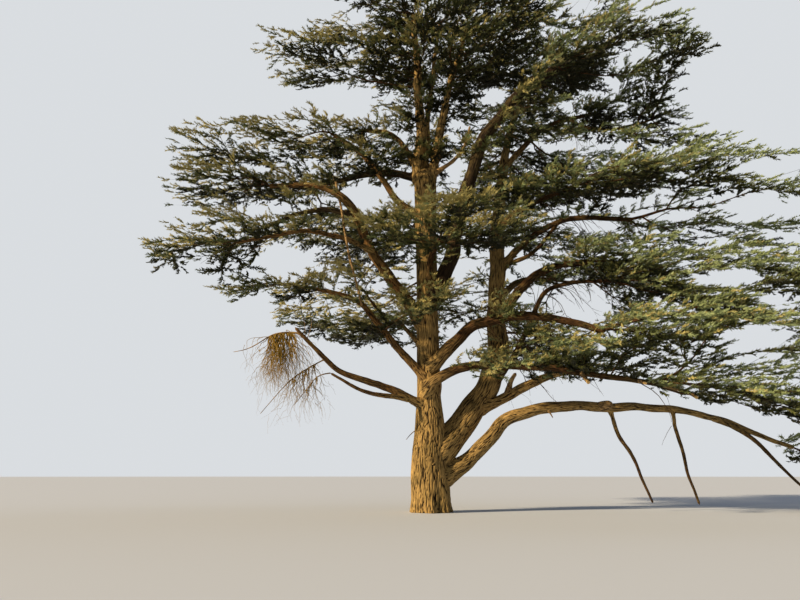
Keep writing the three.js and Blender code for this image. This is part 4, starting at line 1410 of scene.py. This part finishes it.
class CEDAR_OT_foliage(CedarOperator):
    """Grow branches and twigs through every mass of foliage and dress them with needles"""
    bl_idname = "cedar.foliage"
    bl_label = "Foliage"

    def execute(self, context):
        settings = context.scene.cedar_foliage
        spacing = settings.twig_spacing
        rng = np.random.default_rng(settings.seed)
        cloud = [fill_mass(node, spacing, settings.layer_spacing, rng) for node in foliage_nodes()]
        cloud += [side_pads(rng, spacing), growth_between(rng, spacing)]
        cloud.append(rim_shoots(np.concatenate(cloud), rng))
        places = np.concatenate(cloud)
        in_bounds = in_box(places, np.array(CAD_BOX[0]) + MARGIN, np.array(CAD_BOX[1]) - MARGIN)
        places = places[self.clear_of_limbs(places) & in_bounds & ~in_a_gap(places)]
        growth = Growth(*limb_seeds(), places, squash=1.9, gather=0.55, tip_radius=settings.twig_radius)
        growth.smooth(3)
        chains = growth.chains()
        thick = [run for run in chains if growth.radii[run[1]] > BRANCH_RADIUS]
        thin = [run for run in chains if growth.radii[run[1]] <= BRANCH_RADIUS]
        west = [run for run in thin if growth.points[run[0]][0] < TWIGS_SPLIT_AT]
        east = [run for run in thin if growth.points[run[0]][0] >= TWIGS_SPLIT_AT]
        branch_look = twig_material("branch_bark", settings.branch)
        twig_look = twig_material("twig_bark", settings.twig)
        for name, runs, sides, look in (("branches", thick, 6, branch_look),
                                        ("twigs_left", west, 3, twig_look),
                                        ("twigs_right", east, 3, twig_look)):
            twig_piece(branch_paths(name + "_paths", growth, runs), sides, look, name)
        self.needles(settings, growth, exposure(places), rng)
        return {"FINISHED"}

    def clear_of_limbs(self, places):
        """Which places lie outside the bark of every limb."""
        clear = np.ones(len(places), bool)
        for limb in LIMBS.values():
            close = np.where(in_box(places, limb.path.min(0) - 1, limb.path.max(0) + 1))[0]
            for part in np.array_split(close, max(1, len(close) // 2000)):
                if len(part):
                    away, radius = limb.nearest(places[part])
                    clear[part[away < radius + MARGIN]] = False
        return clear

    def needles(self, settings, growth, light, rng):
        """Deals the greens to the sprays, the darkest to those that get the least light, so that the greens are
        painted light and shade, and makes each green one piece."""
        place, forward, size, light = deal_sprays(growth, light, rng)
        turn = quaternions(forward, UP + rng.normal(0, 0.45, (len(place), 3)))
        variant = rng.integers(0, VARIANTS, len(place))
        # The low plates on the right stand more in the sun than the crown above them, so they are dealt lighter
        # greens: painted light.
        open_side = np.clip((place[:, 0] + 5) / 5, 0, 1)
        score = light + rng.normal(0, 0.12, len(place)) + 0.018 * (15 - place[:, 2]) * open_side
        drift = noise_at(place, 1.7)
        order = np.argsort(score + 0.3 * drift)
        *shares, lit = np.split(order, len(order) // len(GREENS) * np.arange(1, len(GREENS) - 1))
        # Painted sunlight: of the lit growth, the warmer golden goes more to the left, the side the sun comes
        # from, and sage more to the right.
        across_tree = place[lit, 0] + 0.3 * place[lit, 1] + 4.0 * drift[lit]
        lit = lit[np.argsort(across_tree + rng.normal(0, 3.5, len(lit)))]
        shares += np.split(lit, [len(lit) // 2])
        tree = dressing_tree(shoot_tree())
        for (green, fewer, wider), chosen in zip(GREENS, shares):
            name = "needles_" + green
            count = round(settings.needles * fewer)
            allowed = MOST_TRIANGLES // (count + 2)
            chosen = np.sort(rng.choice(chosen, min(len(chosen), allowed), replace=False))
            bare = carrier(name + "_points", place[chosen], [], (
                ("turn", "QUATERNION", turn[chosen]), ("size", "FLOAT", size[chosen]),
                ("variant", "INT", variant[chosen])))
            piece = evaluated(bare, tree, {
                "Shoot length": settings.shoot_length, "Needles": count,
                "Needle length": settings.needle_length, "Needle width": settings.needle_width * wider,
                "Material": needle_material(name, getattr(settings, green))}, name)
            placed(piece, masses_held_by(place[chosen], place))


def drooping(name, starts, sag, forks, tangle, rng):
    """Paths of twigs that bend down under their own weight, wander and fork now and then. Each start gives a
    place, a heading, a radius and a number of steps."""
    points, thickness, edges = [], [], []
    while starts:
        at, heading, radius, steps = starts.pop()
        for step in range(steps):
            if step:
                edges.append((len(points) - 1, len(points)))
            points.append(at.tolist())
            thickness.append(radius * (1 - 0.75 * step / steps))
            heading = unit(heading - sag * UP + rng.normal(0, tangle, 3))
            at = at + heading * rng.uniform(0.12, 0.22)
            if step > 2 and radius > 0.006 and rng.random() < forks:
                starts.append((at, heading + rng.normal(0, 0.35, 3), 0.5 * radius, rng.integers(3, 7)))
    return carrier(name, points, edges, [("thickness", "FLOAT", thickness)])


class CEDAR_OT_hanging_twigs(CedarOperator):
    """Hang bare twigs below the right plates"""
    bl_idname = "cedar.hanging_twigs"
    bl_label = "Hanging twigs"

    def execute(self, context):
        settings = context.scene.cedar_foliage
        rng = np.random.default_rng(settings.seed + 2)
        starts = []
        for name, count in HANGING.items():
            limb = LIMBS[name]
            for _ in range(count):
                index = int(rng.uniform(0.3, 1) * (len(limb.path) - 1))
                heading = unit(limb.path[index] - limb.path[index - 1])
                heading = heading + rng.normal([0, 0, -0.5], [0.3, 0.4, 0.35])
                starts.append((limb.path[index], heading, rng.uniform(0.012, 0.026), rng.integers(6, 15)))
        paths = drooping("hanging_paths", starts, sag=0.1, forks=0.16, tangle=0.1, rng=rng)
        twig_piece(paths, 3, twig_material("bare_twigs", settings.bare_twig), "hanging_twigs")
        return {"FINISHED"}


class CEDAR_OT_dead_twigs(CedarOperator):
    """Hang the tuft of dead twigs from the end of the low left bough"""
    bl_idname = "cedar.dead_twigs"
    bl_label = "Dead twigs"

    def execute(self, context):
        settings = context.scene.cedar_foliage
        rng = np.random.default_rng(settings.seed + 1)
        starts = []
        for name, (count, first, last, steps) in BROOM.items():
            limb = LIMBS.get(name) or SMALL[name]
            for _ in range(count):
                index = int(rng.uniform(first, last) * (len(limb.path) - 1))
                heading = rng.normal([0.15, 0, -0.8], [0.15, 0.3, 0.3])
                starts.append((limb.path[index], heading, rng.uniform(0.014, 0.023),
                               rng.integers(steps // 2, steps)))
        paths = drooping("dead_paths", starts, sag=0.28, forks=0.6, tangle=0.34, rng=rng)
        twig_piece(paths, 3, twig_material("dead_twigs", settings.dead), "dead_twigs_tuft",
                   nodes=["dead_twigs"])
        return {"FINISHED"}


class CEDAR_OT_stage(CedarOperator):
    """Lay the pale floor and set up the soft lights"""
    bl_idname = "cedar.stage"
    bl_label = "Stage"

    def execute(self, context):
        stage = context.scene.cedar_stage
        angles = np.arange(FLOOR_SIDES) / FLOOR_SIDES * 2 * math.pi
        rim = [(math.cos(a) * FLOOR_RADIUS, math.sin(a) * FLOOR_RADIUS, FLOOR_LEVEL) for a in angles]
        faces = np.array([(FLOOR_SIDES, i, (i + 1) % FLOOR_SIDES) for i in range(FLOOR_SIDES)])
        floor = mesh_object("floor", np.array(rim + [(0, 0, FLOOR_LEVEL)]), faces)
        # A plain matt floor, with nothing on it that draws the eye from the tree.
        material, shader = new_material("pale_floor", 0.9, 0.5)
        shader.inputs["Base Color"].default_value = (*stage.floor, 1)
        floor.data.materials.append(material)
        world = bpy.data.worlds.new("backdrop")
        world.use_nodes = True
        # The backdrop is seen pale, and lights the tree more dimly, so that the sun stays the main light.
        sky = world.node_tree.nodes["Background"]
        sky.inputs["Color"].default_value = (*stage.sky, 1)
        seen = add_node(world.node_tree, "ShaderNodeLightPath")
        strength = add_node(world.node_tree, "ShaderNodeMapRange", inputs={
            "Value": seen.outputs["Is Camera Ray"], "To Min": 0.2, "To Max": 0.8})
        world.node_tree.links.new(strength.outputs[0], sky.inputs["Strength"])
        context.scene.world = world
        context.scene.view_settings.view_transform = "Standard"
        self.lamp("key", stage.sun, strength=6.2, azimuth=-66, elevation=22, spread=2.5)
        self.lamp("fill", SKY_LIGHT, strength=0.25, azimuth=120, elevation=40, spread=40)
        return {"FINISHED"}

    def lamp(self, name, colour, strength, azimuth, elevation, spread):
        """A soft distant light from a bearing round the tree, counted from the side that it is seen from."""
        data = bpy.data.lights.new(name, "SUN")
        data.energy = strength
        data.color = colour
        data.angle = math.radians(spread)
        a, e = math.radians(azimuth), math.radians(elevation)
        source = Vector((math.sin(a) * math.cos(e), -math.cos(a) * math.cos(e), math.sin(e)))
        linked(name, data).rotation_euler = source.to_track_quat("Z", "Y").to_euler()


OPERATORS = (CEDAR_OT_camera, CEDAR_OT_bark, CEDAR_OT_foliage, CEDAR_OT_hanging_twigs, CEDAR_OT_dead_twigs,
             CEDAR_OT_stage)
SETTINGS = (("cedar_bark", CedarBark), ("cedar_foliage", CedarFoliage), ("cedar_stage", CedarStage))


class CEDAR_PT_panel(bpy.types.Panel):
    """Lists the steps and the settings in the sidebar"""
    bl_idname = "CEDAR_PT_panel"
    bl_label = "Cedar of Lebanon"
    bl_space_type = "VIEW_3D"
    bl_region_type = "UI"
    bl_category = "Cedar"

    def draw(self, context):
        for operator in OPERATORS:
            self.layout.operator(operator.bl_idname)
        for name, _ in SETTINGS:
            box = self.layout.box()
            group = getattr(context.scene, name)
            for key in group.bl_rna.properties.keys():
                if key not in ("rna_type", "name"):
                    box.prop(group, key)


def register():
    for name, group in SETTINGS:
        bpy.utils.register_class(group)
        setattr(bpy.types.Scene, name, PointerProperty(type=group))
    for operator in OPERATORS:
        bpy.utils.register_class(operator)
    bpy.utils.register_class(CEDAR_PT_panel)


def unregister():
    bpy.utils.unregister_class(CEDAR_PT_panel)
    for operator in reversed(OPERATORS):
        bpy.utils.unregister_class(operator)
    for name, group in reversed(SETTINGS):
        delattr(bpy.types.Scene, name)
        bpy.utils.unregister_class(group)


def main():
    """Registers the add-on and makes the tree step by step."""
    register()
    bpy.ops.cedar.camera()
    bpy.ops.cedar.bark()
    bpy.ops.cedar.foliage()
    bpy.ops.cedar.hanging_twigs()
    bpy.ops.cedar.dead_twigs()
    bpy.ops.cedar.stage()


if __name__ == "__main__":
    main()
